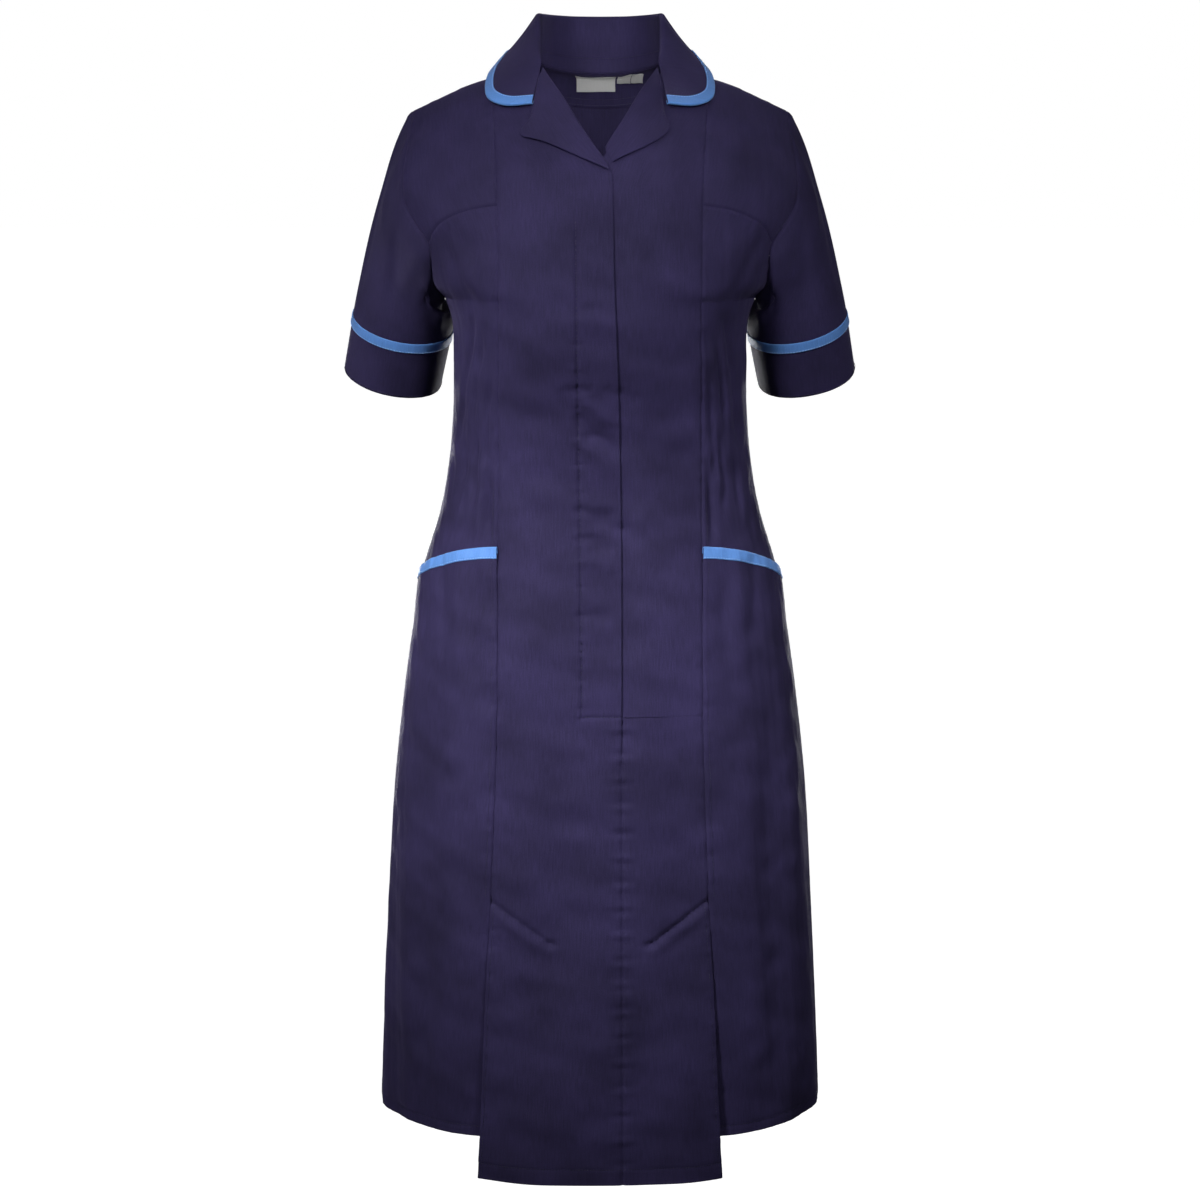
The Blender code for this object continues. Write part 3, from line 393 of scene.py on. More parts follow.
def around_at(x, level, behind=False):
    """The turn at which the form has this x at a level."""
    share = np.minimum(1.0, np.abs(x) / reach_at(level))
    turn = np.arcsin(share ** (RING_POWER / 2.0)) * 2.0 / pi
    turn = 2.0 - turn if behind else turn
    return np.where(x >= 0.0, turn, -turn)


def shoulder_z(x, behind):
    """Height of the form's top: the shoulder slope, and the neck's hollow between."""
    x = np.abs(x)
    share = (x - NECK_HALF) / (SHOULDER_HALF - NECK_HALF)
    slope = -SHOULDER_DROP * share + SHOULDER_LIFT * ease((share - 0.20) / 0.40)
    drop = np.where(behind, BACK_NECK_DROP, FRONT_NECK_DROP)
    return np.where(x >= NECK_HALF, slope, -drop * (1.0 - (x / NECK_HALF) ** 2))


def neck_y(x, rise, behind):
    """Depth of the form's top, which reaches forward and back at the neck."""
    half = np.where(behind, NECK_HALF, FRONT_NECK_HALF)
    at_neck = np.maximum(0.0, 1.0 - (x / half) ** 2) ** 0.6
    below = np.maximum(0.0, 1.0 - (x / NECK_FADE) ** 2) ** 2
    share = mix(below, at_neck, rise**8)
    return SHOULDER_Y + np.where(behind, BACK_NECK_REACH, -FRONT_NECK_REACH) * share


def form(around, level):
    """Points of the form.

    around is 0 at centre front, 1 at a side and 2 at centre back, negative on the right.
    level is metres below the underarm, and above it a share of the way to the shoulder.
    """
    around, level = np.broadcast_arrays(np.asarray(around, float), np.asarray(level, float))
    around = np.mod(around + 2.0, 4.0) - 2.0
    side = np.where(around >= 0.0, 1.0, -1.0)
    behind = np.abs(around) > 1.0
    angle = np.where(behind, 2.0 - np.abs(around), np.abs(around)) * pi / 2.0
    across = np.maximum(0.0, np.sin(angle)) ** (2.0 / RING_POWER)
    along = np.maximum(0.0, np.cos(angle)) ** (2.0 / RING_POWER)
    x = side * across * reach_at(level)
    z = np.minimum(UNDERARM + level, UNDERARM)
    depth = along * np.where(behind, smooth(BODY, z, BACK), -smooth(BODY, z, FRONT))
    rise = np.clip(level, 0.0, 1.0)
    roll = np.where(behind, BACK_ROLL, FRONT_ROLL)
    hold = np.maximum(0.0, 1.0 - rise**roll) ** (1.0 / roll)
    y = depth * hold + neck_y(x, rise, behind) * (1.0 - hold)
    high = UNDERARM + level * (shoulder_z(x, behind) - UNDERARM)
    return np.stack((x, y, np.where(level > 0.0, high, z)), -1)


def form_normal(around, level):
    """Outward normals of the form; at the shoulder seam they lie in the seam's plane."""
    around, level = np.broadcast_arrays(np.asarray(around, float), np.asarray(level, float))
    turn, lift = 0.004, np.where(level < 0.97, 0.006, 0.0006)
    around = np.mod(around + 2.0, 4.0) - 2.0
    side = np.where(around > 0.0, 1.0, -1.0)
    near = (level > 0.0) & (np.abs(np.abs(around) - 1.0) < 0.04)
    around = np.where(near, side * np.where(np.abs(around) > 1.0, 1.04, 0.96), around)
    ahead = form(around, np.minimum(level + lift, 1.0)) - form(around, level - lift)
    aside = form(around + turn, level) - form(around - turn, level)
    normal = unit(np.cross(ahead, aside))
    point = form(around, level)
    outward = np.stack((point[..., 0], point[..., 1], 0.15 * np.maximum(level, 0.0)), -1)
    normal = np.where((normal * outward).sum(-1, keepdims=True) > 0.0, normal, -normal)
    upright = ease((level - 0.985) / 0.015)     # front and back share a plane at the seam
    normal = normal * np.stack((np.ones_like(level), 1.0 - upright, np.ones_like(level)), -1)
    return unit(normal)


def on_form(around, level, offset):
    """Points at an offset out from the form, carried just past the shoulder seam."""
    point = form(around, level) + form_normal(around, level) * np.asarray(offset)[..., None]
    at_top = np.where(level >= 1.0, np.where(np.abs(around) > 1.0, SEAM, -SEAM), 0.0)
    point[..., 1] += at_top
    return point


def level_at(x, z, behind=False):
    """The level of a point at x and height z."""
    high = np.minimum(1.0, (z - UNDERARM) / (shoulder_z(x, behind) - UNDERARM))
    return np.where(z <= UNDERARM, z - UNDERARM, high)


def front_spot(x, z):
    """Turn and level of a point of the front at x and height z."""
    level = level_at(x, z)
    return around_at(x, level), level


# ---- seam lines -----------------------------------------------------------------------
def height(level):
    """Mean height of a level, by which the seam table is read."""
    return UNDERARM + np.where(level <= 0.0, level, level * (SHOULDER_MEAN - UNDERARM))


def front_princess(level):
    """How far from the centre the front princess seam runs."""
    low = smooth(SEAMS, height(level), FRONT_PRINCESS)
    base = smooth(SEAMS, UNDERARM, FRONT_PRINCESS)
    high = mix(base, SHOULDER_PRINCESS, np.maximum(level, 0.0) ** 3)
    return np.where(level <= 0.0, low, high)


def back_princess(level):
    """How far from the centre the back princess seam runs."""
    low = smooth(SEAMS, height(level), BACK_PRINCESS)
    base = smooth(SEAMS, UNDERARM, BACK_PRINCESS)
    high = mix(base, SHOULDER_PRINCESS, np.maximum(level, 0.0) ** 1.5)
    return np.where(level <= 0.0, low, high)


def front_cut(level):
    """How far from the centre the front's armhole runs."""
    return smooth(ARMHOLE, level, REACH) * smooth(ARMHOLE, level, FRONT_CUT)


def back_cut(level):
    """How far from the centre the back's armhole runs."""
    return smooth(ARMHOLE, level, REACH) * smooth(ARMHOLE, level, BACK_CUT)


def yoke_level(share):
    """Level of the yoke seam, a share of the way to the armhole."""
    return YOKE_PRINCESS - (YOKE_PRINCESS - YOKE_ARMHOLE) * share**2.3


def mouth_z(share):
    """Height of a pocket's mouth, a share of the way to the side seam."""
    return MOUTH_TOP - MOUTH_FALL * share**1.5


def rolled_edge(start, level):
    """How far from the centre a front's folded edge lies, up to the neck."""
    low = mix(start, GORGE, (height(level) - BREAK) / (height(ROLL_TOP) - BREAK))
    share = np.clip((level - ROLL_TOP) / (1.0 - ROLL_TOP), 0.0, 1.0)
    return np.where(level <= ROLL_TOP, low, mix(GORGE, NECK_HALF, share**1.5))


def right_front_edge(level):
    """X of the right front's edge at a level."""
    z = height(level)
    top = smooth(SEAMS, BREAK_RIGHT, FLY_EDGE)
    turning = mix(top, 0.0005, (z - BREAK_RIGHT) / (BREAK - BREAK_RIGHT))
    edge = np.where(z <= BREAK, turning, -rolled_edge(-0.0005, level))
    return np.where(z <= BREAK_RIGHT, smooth(SEAMS, z, FLY_EDGE), edge)


def left_front_edge(level):
    """X of the left front's edge at a level."""
    z = height(level)
    turning = mix(-0.0197, -0.0020, (z - BREAK_LEFT) / (BREAK - BREAK_LEFT))
    edge = np.where(z <= BREAK, turning, rolled_edge(-0.0020, level))
    edge = np.where(z <= BREAK_LEFT, smooth(SEAMS, z, FLY_STITCH) + 0.003, edge)
    return np.where(z < FLY_END, smooth(SEAMS, z, FLY_EDGE) + 2 * SEAM, edge)


# ---- how far each layer lies from the form --------------------------------------------
def kick(z):
    """How far the skirt stands forward over the pleats."""
    share = np.maximum(0.0, (PLEAT_TOP - z) / (PLEAT_TOP - FRONT_HEM))
    return PLEAT_PROUD * share**1.4


def left_dip(around, level):
    """How far the left front lies in where the right front covers it."""
    z = height(level)
    sunk = cloth_wall() + 2 * REST
    x = form(around, level)[..., 0] - right_front_edge(level)
    dip = sunk * (1.0 - ease((x - 0.007) / 0.016))
    return -dip * (1.0 - ease((FLY_END - 0.016 - z) / 0.035))


def pocket_lift(share, z):
    """How far the side skirt stands out at the pocket's mouth, to nothing below it."""
    return POCKET_PROUD * (1.0 - ease((mouth_z(share) - z) / 0.060))


def behind_pocket(share, z):
    """How far a layer behind the pocket's mouth lies from the form."""
    under = pocket_lift(share, z) - cloth_wall() - 2.6 * REST
    return np.where(z >= mouth_z(share), 0.0, under)


# ---- creases --------------------------------------------------------------------------
def quarter_girth(level):
    """About the length of cloth from the centre to a side at a level."""
    return 1.15 * reach_at(level)


def crease_sum(s, t, creases):
    """Heights of soft troughs and ridges at points s across and t along."""
    total = np.zeros_like(s)
    for s1, t1, s2, t2, width, tall in creases:
        run = np.hypot(s2 - s1, t2 - t1)
        ahead = ((s - s1) * (s2 - s1) + (t - t1) * (t2 - t1)) / run**2
        aside = ((s - s1) * (t2 - t1) - (t - t1) * (s2 - s1)) / run
        bend = aside + 0.22 * width * np.sin(7.0 * ahead + 900.0 * s1)
        fade = ease((ahead + 0.25) / 0.5) * ease((1.25 - ahead) / 0.5)
        total += tall * fade * np.exp(-((bend / width) ** 2))
    return total


def placed_creases(table, behind):
    """The creases with each end's x turned into a length around the form."""
    placed = []
    for x1, z1, x2, z2, width, tall in table:
        ends = []
        for x, z in ((x1, z1), (x2, z2)):
            level = level_at(x, z, behind)
            ends += [float(np.sign(x) * abs(turned(x, level, behind)) * quarter_girth(level)), z]
        placed.append((*ends, width, tall))
    return placed


def turned(x, level, behind):
    """How far round from the nearer centre line, 0 to 1."""
    turn = abs(around_at(x, level, behind))
    return 2.0 - turn if behind else turn


def turned_to(x, level):
    """Turn from the centre to x, between 0 and 1."""
    share = np.minimum(1.0, np.abs(x) / reach_at(level))
    return np.arcsin(share ** (RING_POWER / 2.0)) * 2.0 / pi


def drape(around, level):
    """The cloth's soft creases, which every layer at one place shares."""
    around = np.mod(around + 2.0, 4.0) - 2.0
    z = form(around, level)[..., 2]
    behind = np.abs(around) > 1.0
    turn = np.where(behind, 2.0 - np.abs(around), np.abs(around))
    s = np.sign(around) * turn * quarter_girth(level)
    front = crease_sum(s, z, placed_creases(FRONT_CREASES, False))
    back = crease_sum(s, z, placed_creases(BACK_CREASES, True))
    low = ease((-0.42 - z) / 0.45)
    swell = 0.0013 * wander(s + 0.11 * z, 0.085, 0.6) * low
    swell = swell + 0.0004 * wander(z + 0.4 * s, 0.047, 1.9)
    swell = swell + 0.0008 * wander(z + 0.35 * s, 0.061, 0.9) * wander(s - 0.2 * z, 0.055, 2.2)
    swell = swell + 0.00022 * wander(s + 0.08 * z, 0.0135, 2.6) * ease((turn - 0.30) / 0.12)
    cut = np.where(behind, back_cut(np.maximum(level, 0.0)), front_cut(np.maximum(level, 0.0)))
    room = turned_to(cut, level) - turn
    side_seam = ease((1.0 - turn) / 0.17)
    fade = np.where(level > 0.0, ease(room / 0.10), side_seam) * ease((1.0 - level) / 0.05)
    return crease_depth() * (np.where(behind, back, front) + swell) * fade


# ---- meshes ---------------------------------------------------------------------------
def settings():
    """The settings that the add-on keeps on the scene."""
    return bpy.context.scene.nurse_dress


def cloth_wall():
    return settings().cloth_thickness


def crease_depth():
    return settings().crease_depth


def grid_normals(points, ring=False):
    """Normals of a grid, facing the way its own faces do."""
    if ring:
        across = np.roll(points[:, :-1], -1, 1) - np.roll(points[:, :-1], 1, 1)
        across = np.concatenate((across, across[:, :1]), 1)
    else:
        across = np.gradient(points, axis=1)
    return unit(np.cross(across, np.gradient(points, axis=0)))


def lengths_along(points, axis):
    steps = np.linalg.norm(np.diff(points, axis=axis), axis=-1)
    start = np.zeros_like(np.take(steps, [0], axis=axis))
    return np.concatenate((start, np.cumsum(steps, axis=axis)), axis=axis)


def shell(name, points, wall, offset, material, ring=False, soften=0.00045):
    """A thin closed wall on a grid of points, whose faces look along the grid's normals."""
    rows, columns = points.shape[:2]
    bpy.ops.object.select_all(action="DESELECT")
    bpy.ops.mesh.primitive_grid_add(
        x_subdivisions=columns - 1, y_subdivisions=rows - 1, size=2.0)
    piece = bpy.context.object
    piece.name = piece.data.name = name
    mesh = piece.data
    flat = np.empty(len(mesh.vertices) * 3)
    mesh.vertices.foreach_get("co", flat)
    flat = flat.reshape(-1, 3)
    c = np.rint((flat[:, 0] + 1.0) / 2.0 * (columns - 1)).astype(int)
    r = np.rint((flat[:, 1] + 1.0) / 2.0 * (rows - 1)).astype(int)
    mesh.vertices.foreach_set("co", points[r, c].ravel())
    across = lengths_along(points, 1)
    across = across - across[:, columns // 2][:, None]
    along = lengths_along(points, 0)[:, [columns // 2]] + np.zeros((1, columns))
    corner = np.empty(len(mesh.loops), int)
    mesh.loops.foreach_get("vertex_index", corner)
    uv = np.stack((across[r, c], along[r, c]), -1)[corner]
    mesh.uv_layers[0].data.foreach_set("uv", uv.ravel())
    mesh.update()
    if ring:
        bpy.ops.object.mode_set(mode="EDIT")
        bpy.ops.mesh.select_all(action="SELECT")
        bpy.ops.mesh.remove_doubles(threshold=1e-6)
        bpy.ops.object.mode_set(mode="OBJECT")
    solid = piece.modifiers.new("Wall", "SOLIDIFY")
    solid.thickness, solid.offset = wall, offset
    bpy.ops.object.modifier_apply(modifier=solid.name)
    if soften:
        edge = piece.modifiers.new("Soft edge", "BEVEL")
        edge.width, edge.segments = min(soften, 0.4 * wall), 2
        edge.limit_method, edge.angle_limit = "ANGLE", radians(55)
        bpy.ops.object.modifier_apply(modifier=edge.name)
    bpy.ops.object.shade_smooth_by_angle(angle=radians(65))
    piece.data.materials.clear()
    piece.data.materials.append(material)
    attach(piece, "root")
    return piece


def facing_out(points, outward, ring=False):
    """The grid with its columns in the order that makes its faces look outward."""
    normals = grid_normals(points, ring)
    return points if (normals * outward).sum() > 0.0 else points[:, ::-1]


def spaced(length, step):
    """Shares from 0 to 1 about a step apart, closer together at the ends."""
    near = np.array((0.0, 1.0, 2.2, 4.0, 6.5)) * EDGE_STEP / length
    far = 1.0 - near[::-1]
    count = max(2, int(round((far[0] - near[-1]) * length / step)))
    return np.concatenate((near[:-1], np.linspace(near[-1], far[0], count + 1), far[1:]))


def between(knots, step, scale=1.0):
    """Values through all the knots in turn, about a step apart."""
    line = [np.array(knots[:1], float)]
    for low, high in zip(knots, knots[1:]):
        count = max(1, int(round(abs(high - low) * scale / step)))
        line.append(np.linspace(low, high, count + 1)[1:])
    return np.concatenate(line)


def trimmed(start, end, share, level):
    """Turns between two seams, each end carried just past its seam line."""
    girth = reach_at(level) * pi / 2.0
    step = SEAM / girth * np.sign(end - start)
    return mix(start + step, end - step, share)


def cut_piece(name, rows, columns, spot, lift, material, wall=None, seams=(1, 1, 1, 1)):
    """A cut piece on the form, let into its seams at the left, right, bottom and top."""
    wall = wall or cloth_wall()
    share, row = np.meshgrid(columns, rows)
    around, level = spot(share, row)
    base = form(around, level)
    across, along = lengths_along(base, 1), lengths_along(base, 0)
    gaps = (across, across[:, -1:] - across, along, along[-1:] - along)
    up = lift(around, level, share) + drape(around, level)
    for number, (weight, gap) in enumerate(zip(seams, gaps)):
        if weight:
            run = along if number < 2 else across
            up = up - weight * SEAM_DIP * np.exp(-((gap / SEAM_DIP_HALF) ** 2))
            near = np.exp(-((gap / PUCKER_REACH) ** 2))
            up = up + weight * PUCKER_RISE * wander(run, PUCKER_LENGTH, number) * near
    outward = form_normal(around, level)
    points = facing_out(on_form(around, level, up), outward)
    return shell(name, points, wall, -1.0, material)


def cloth():
    """The twill, made at first use."""
    return bpy.data.materials.get("navy twill") or make_navy_twill()


def levels_of(z_values):
    return [z - UNDERARM for z in z_values]


def body_rows(foot, step, extra=()):
    """Levels from a hem up to the shoulder seam, close together along stitched rows."""
    low = sorted({foot, foot + 0.0008, foot + 0.002, foot + 0.004, UNDERARM, *extra})
    high = between([0.0, 0.4, 0.8, 0.95, 1.0], step, 0.21)
    return np.concatenate((between(levels_of(low), step), high[1:]))


# ---- stitching ------------------------------------------------------------------------
def stitch_shape():
    """One stitch, a short round-ended thread along X."""
    bpy.ops.object.select_all(action="DESELECT")
    bpy.ops.mesh.primitive_uv_sphere_add(segments=6, ring_count=5, radius=1.0)
    made = bpy.context.object
    made.data.transform(((0, 0, 1, 0), (0, 1, 0, 0), (-1, 0, 0, 0), (0, 0, 0, 1)))
    points = np.array([v.co[:] for v in made.data.vertices])
    faces = [tuple(f.vertices) for f in made.data.polygons]
    bpy.data.objects.remove(made, do_unlink=True)
    return points, faces


def sew(name, lines, material):
    """Rows of stitches along lines; each line is its points and the cloth's normals."""
    pitch = settings().stitch_length
    unit_points, unit_faces = stitch_shape()
    points, faces = [], []
    for line, normals in lines:
        run = np.concatenate(([0.0], np.cumsum(np.linalg.norm(np.diff(line, axis=0), axis=1))))
        count = max(1, int(run[-1] / pitch))
        for k in range(count):
            middle = (k + 0.5) / count * run[-1]
            half = 0.5 * run[-1] / count
            at = [np.interp(middle + d, run, line[:, i])
                  for d in (-half, 0.0, half) for i in range(3)]
            before, here, after = np.array(at).reshape(3, 3)
            up = unit(np.array([np.interp(middle, run, normals[:, i]) for i in range(3)]))
            forth = unit(after - before)
            aside = unit(np.cross(up, forth))
            scaled = unit_points * (STITCH_FILL * half, THREAD_RADIUS, THREAD_RADIUS)
            placed = (here + scaled[:, :1] * forth + scaled[:, 1:2] * aside
                      + scaled[:, 2:3] * up)
            start = len(points) * len(unit_points)
            points.append(placed)
            faces += [tuple(start + v for v in face) for face in unit_faces]
    mesh = bpy.data.meshes.new(name)
    mesh.from_pydata(np.concatenate(points).tolist(), [], faces)
    mesh.update()
    mesh.shade_smooth()
    piece = bpy.data.objects.new(name, mesh)
    bpy.context.collection.objects.link(piece)
    mesh.materials.append(material)
    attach(piece, "root")
    return piece


def body_line(around, level, lift):
    """A line on the cloth over the form, with its normals, for stitches."""
    up = lift + drape(around, level)
    return on_form(around, level, up), form_normal(around, level)


# ---- materials ------------------------------------------------------------------------
def new_material(name, color, roughness, specular):
    """A material with a colour, and its shader."""
    made = bpy.data.materials.new(name)
    made.use_nodes = True
    shader = made.node_tree.nodes["Principled BSDF"]
    shader.inputs["Base Color"].default_value = (*color, 1.0)
    shader.inputs["Roughness"].default_value = roughness
    shader.inputs["Specular IOR Level"].default_value = specular
    return made, shader


def node(material, kind, **values):
    """A shader node with its inputs or settings filled in."""
    made = material.node_tree.nodes.new(kind)
    for name, value in values.items():
        if name in made.inputs:
            made.inputs[name].default_value = value
        else:
            setattr(made, name, value)
    return made


def link(material, start, end):
    material.node_tree.links.new(start, end)


def woven(material, shader, thread_size, bump, slub, painted_sheen_patch_change, streak=0.30):
    """Twill lines and uneven yarns on the piece's own grain, and soft cloudy patches of painted
    sheen, lighter and darker at random.
    """
    base = tuple(shader.inputs["Base Color"].default_value)[:3]
    place = node(material, "ShaderNodeTexCoord")
    grain = node(material, "ShaderNodeMapping")
    grain.inputs["Scale"].default_value = (1.0 / thread_size, 1.0 / thread_size, 1.0)
    link(material, place.outputs["UV"], grain.inputs["Vector"])
    twill = node(material, "ShaderNodeTexWave", wave_type="BANDS", bands_direction="DIAGONAL",
                 Scale=0.32, Distortion=1.2, Detail=1.0)
    link(material, grain.outputs["Vector"], twill.inputs["Vector"])
    yarns = node(material, "ShaderNodeMapping")
    yarns.inputs["Scale"].default_value = (1.0 / (2.2 * thread_size), 1.0 / (30 * thread_size), 1.0)
    link(material, place.outputs["UV"], yarns.inputs["Vector"])
    streaks = node(material, "ShaderNodeTexNoise", Scale=1.0, Detail=3.0, Roughness=0.6)
    link(material, yarns.outputs["Vector"], streaks.inputs["Vector"])
    fine = node(material, "ShaderNodeTexNoise", Scale=0.55, Detail=2.0, Roughness=0.7)
    link(material, grain.outputs["Vector"], fine.inputs["Vector"])
    # painted sheen: soft patches about 70 mm across make the colour lighter and darker at random,
    # standing for the cloth's mottled sheen
    painted_sheen_patches = node(material, "ShaderNodeTexNoise", Scale=14.0, Detail=3.0, Roughness=0.55)
    link(material, place.outputs["Object"], painted_sheen_patches.inputs["Vector"])

    def ranged(source, low, high):
        made = node(material, "ShaderNodeMapRange")
        made.inputs["From Min"].default_value = 0.30
        made.inputs["From Max"].default_value = 0.70
        made.inputs["To Min"].default_value = low
        made.inputs["To Max"].default_value = high
        link(material, source, made.inputs["Value"])
        return made.outputs["Result"]

    def times(a, b):
        made = node(material, "ShaderNodeMath", operation="MULTIPLY")
        link(material, a, made.inputs[0])
        link(material, b, made.inputs[1])
        return made.outputs["Value"]

    # the colour is scaled by the uneven yarns and by the painted sheen patches
    shade = times(ranged(streaks.outputs["Fac"], 1.0 - slub, 1.0 + slub),
                  ranged(painted_sheen_patches.outputs["Fac"], 1.0 - painted_sheen_patch_change, 1.0 + painted_sheen_patch_change))
    shade = times(shade, ranged(fine.outputs["Fac"], 1.0 - slub, 1.0 + slub))
    color = node(material, "ShaderNodeVectorMath", operation="SCALE")
    color.inputs[0].default_value = base
    link(material, shade, color.inputs["Scale"])
    link(material, color.outputs["Vector"], shader.inputs["Base Color"])
    rise = node(material, "ShaderNodeMath", operation="ADD")
    link(material, twill.outputs["Fac"], rise.inputs[0])
    half = node(material, "ShaderNodeMath", operation="MULTIPLY")
    link(material, streaks.outputs["Fac"], half.inputs[0])
    half.inputs[1].default_value = streak
    link(material, half.outputs["Value"], rise.inputs[1])
    dents = node(material, "ShaderNodeBump", Strength=bump, Distance=0.00012)
    link(material, rise.outputs["Value"], dents.inputs["Height"])
    link(material, dents.outputs["Normal"], shader.inputs["Normal"])


def make_navy_twill():
    """Navy twill with a faint sheen, and soft patches of painted sheen in its colour."""
    made, shader = new_material("navy twill", settings().cloth_color, 0.75, 0.12)
    shader.inputs["Sheen Weight"].default_value = 0.10
    shader.inputs["Sheen Roughness"].default_value = 0.45
    shader.inputs["Sheen Tint"].default_value = (0.42, 0.36, 0.75, 1.0)
    woven(made, shader, thread_size=0.0006, bump=1.0, slub=0.16, painted_sheen_patch_change=0.26)
    return made


def make_binding():
    made, shader = new_material("pale blue binding", settings().binding_color, 0.62, 0.30)
    shader.inputs["Sheen Weight"].default_value = 0.15
    shader.inputs["Sheen Roughness"].default_value = 0.4
    woven(made, shader, thread_size=0.0005, bump=0.60, slub=0.09, painted_sheen_patch_change=0.05)
    return made


def make_label():
    made, shader = new_material("woven label", settings().label_color, 0.55, 0.35)
    woven(made, shader, thread_size=0.0004, bump=0.25, slub=0.04, painted_sheen_patch_change=0.03)
    return made


def make_thread(name, color):
    made, shader = new_material(name, color, 0.55, 0.30)
    place = node(made, "ShaderNodeTexCoord")
    twist = node(made, "ShaderNodeTexNoise", Scale=2500.0, Detail=1.0)
    link(made, place.outputs["Object"], twist.inputs["Vector"])
    dents = node(made, "ShaderNodeBump", Strength=0.3, Distance=0.0001)
    link(made, twist.outputs["Fac"], dents.inputs["Height"])
    link(made, dents.outputs["Normal"], shader.inputs["Normal"])
    return made


def finish_of(name):
    """A material by name, made at first use."""
    makers = {
        "navy twill": make_navy_twill,
        "pale blue binding": make_binding,
        "woven label": make_label,
        # painted shade: the navy thread is darker than the cloth, standing for the shade that falls
        # in the stitched dents
        "navy thread with painted shade": lambda: make_thread("navy thread with painted shade", settings().thread_color_with_dent_shade),
        "pale blue thread": lambda: make_thread("pale blue thread", (0.24, 0.42, 0.78)),
    }
    return bpy.data.materials.get(name) or makers[name]()


# ---- front ----------------------------------------------------------------------------
def stitch_dent(gap, along, depth=0.0005, width=0.0012, pucker=0.00028, turn=0.0):
    """The dent of a stitched row and the small puckers that it draws up beside it."""
    dent = -depth * np.exp(-((gap / width) ** 2))
    return dent + pucker * wander(along, 0.0145, turn) * np.exp(-((gap / 0.0065) ** 2))


def fly_share(level):
    """Where the fly stitching lies between the right front's edge and its princess seam."""
    z = np.minimum(height(level), BREAK_RIGHT)
    edge, line = smooth(SEAMS, z, FLY_EDGE), smooth(SEAMS, z, FLY_STITCH)
    return (edge - line) / (edge + smooth(SEAMS, z, FRONT_PRINCESS))


def pleat_row_gap(x, z):
    """Distance from the slanting stitched row at the top of a pleat, and how far along it."""
    dx, dz = PLEAT_INNER - PLEAT_OUTER, PLEAT_FOOT - PLEAT_TOP
    run = np.hypot(dx, dz)
    ahead = ((np.abs(x) - PLEAT_OUTER) * dx + (z - PLEAT_TOP) * dz) / run**2
    aside = ((np.abs(x) - PLEAT_OUTER) * dz - (z - PLEAT_TOP) * dx) / run
    gap = np.hypot(aside, run * (np.maximum(0.0, -ahead) + np.maximum(0.0, ahead - 1.0)))
    return gap, ahead * run, aside


def front_details(around, level):
    """Stitched rows and edges that both fronts have."""
    point = form(around, level)
    x, z = point[..., 0], point[..., 2]
    gap, along, aside = pleat_row_gap(x, z)
    up = kick(z) + stitch_dent(gap, along, 0.0030, 0.0026, 0.0006)
    below = np.where(z < PLEAT_TOP + 0.002, 1.0, 0.0)
    # the fold of cloth just under the slanting row
    near = ease((along + 0.005) / 0.02) * ease((0.085 - along) / 0.03)
    up = up + 0.0017 * np.exp(-(((aside + 0.0075) / 0.0055) ** 2)) * near * below
    # the dimple where that row ends
    hook = np.hypot((np.abs(x) - PLEAT_INNER + 0.002) / 0.006, (z - PLEAT_FOOT - 0.001) / 0.0035)
    up = up - 0.0016 * np.exp(-(hook ** 2))
    inside = front_princess(level) - np.abs(x)
    up = up + below * stitch_dent(inside - PLEAT_ROW_GAP, z, 0.0004, 0.0011, 0.00035, 0.7)
    return up + stitch_dent(z - FRONT_HEM - FRONT_HEM_TURN, x, 0.0004, 0.0012, 0.0003)


def centre_seam(z, edge):
    """The seam under the fly, and the uneven puckers that it draws up."""
    below = ease((FLY_END - z) / 0.008)
    puckers = 0.0011 * wander(z, 0.0155, 0.3) * np.exp(-((edge / 0.0095) ** 2))
    return below * (puckers - 0.0013 * np.exp(-((edge / 0.0017) ** 2)))


def right_lift(around, level, share):
    """How far the right front lies from the form, with the rows of its fly."""
    point = form(around, level)
    x, z = point[..., 0], point[..., 2]
    up = front_details(around, level)
    line = smooth(SEAMS, z, FLY_STITCH)
    sewn = ease((z - FLY_END + 0.004) / 0.004) * ease((FLY_STITCH_TOP - z) / 0.02)
    up = up + sewn * stitch_dent(x - line, z, 0.0014, 0.0015, 0.0006)
    up = up + sewn * 0.00050 * np.sin(z * 2.0 * pi / 0.0042) * np.exp(-(((x - line) / 0.0028) ** 2))
    inside = ease((x - line - 0.002) / 0.004) * ease((z - FLY_END) / 0.01)
    up = up + 0.0003 * inside * ease((FLY_STITCH_TOP - z) / 0.05)
    end = smooth(SEAMS, FLY_END, FLY_EDGE)
    row = (x > -0.0185) & (x < end)
    up = up + np.where(row, stitch_dent(z - FLY_END, x, 0.0009, 0.0013, 0.0004), 0.0)
    return up + centre_seam(z, right_front_edge(level) - x)


def left_lift(around, level, share):
    """How far the left front lies from the form."""
    point = form(around, level)
    x, z = point[..., 0], point[..., 2]
    up = front_details(around, level) + left_dip(around, level)
    return up + centre_seam(z, x - right_front_edge(level))


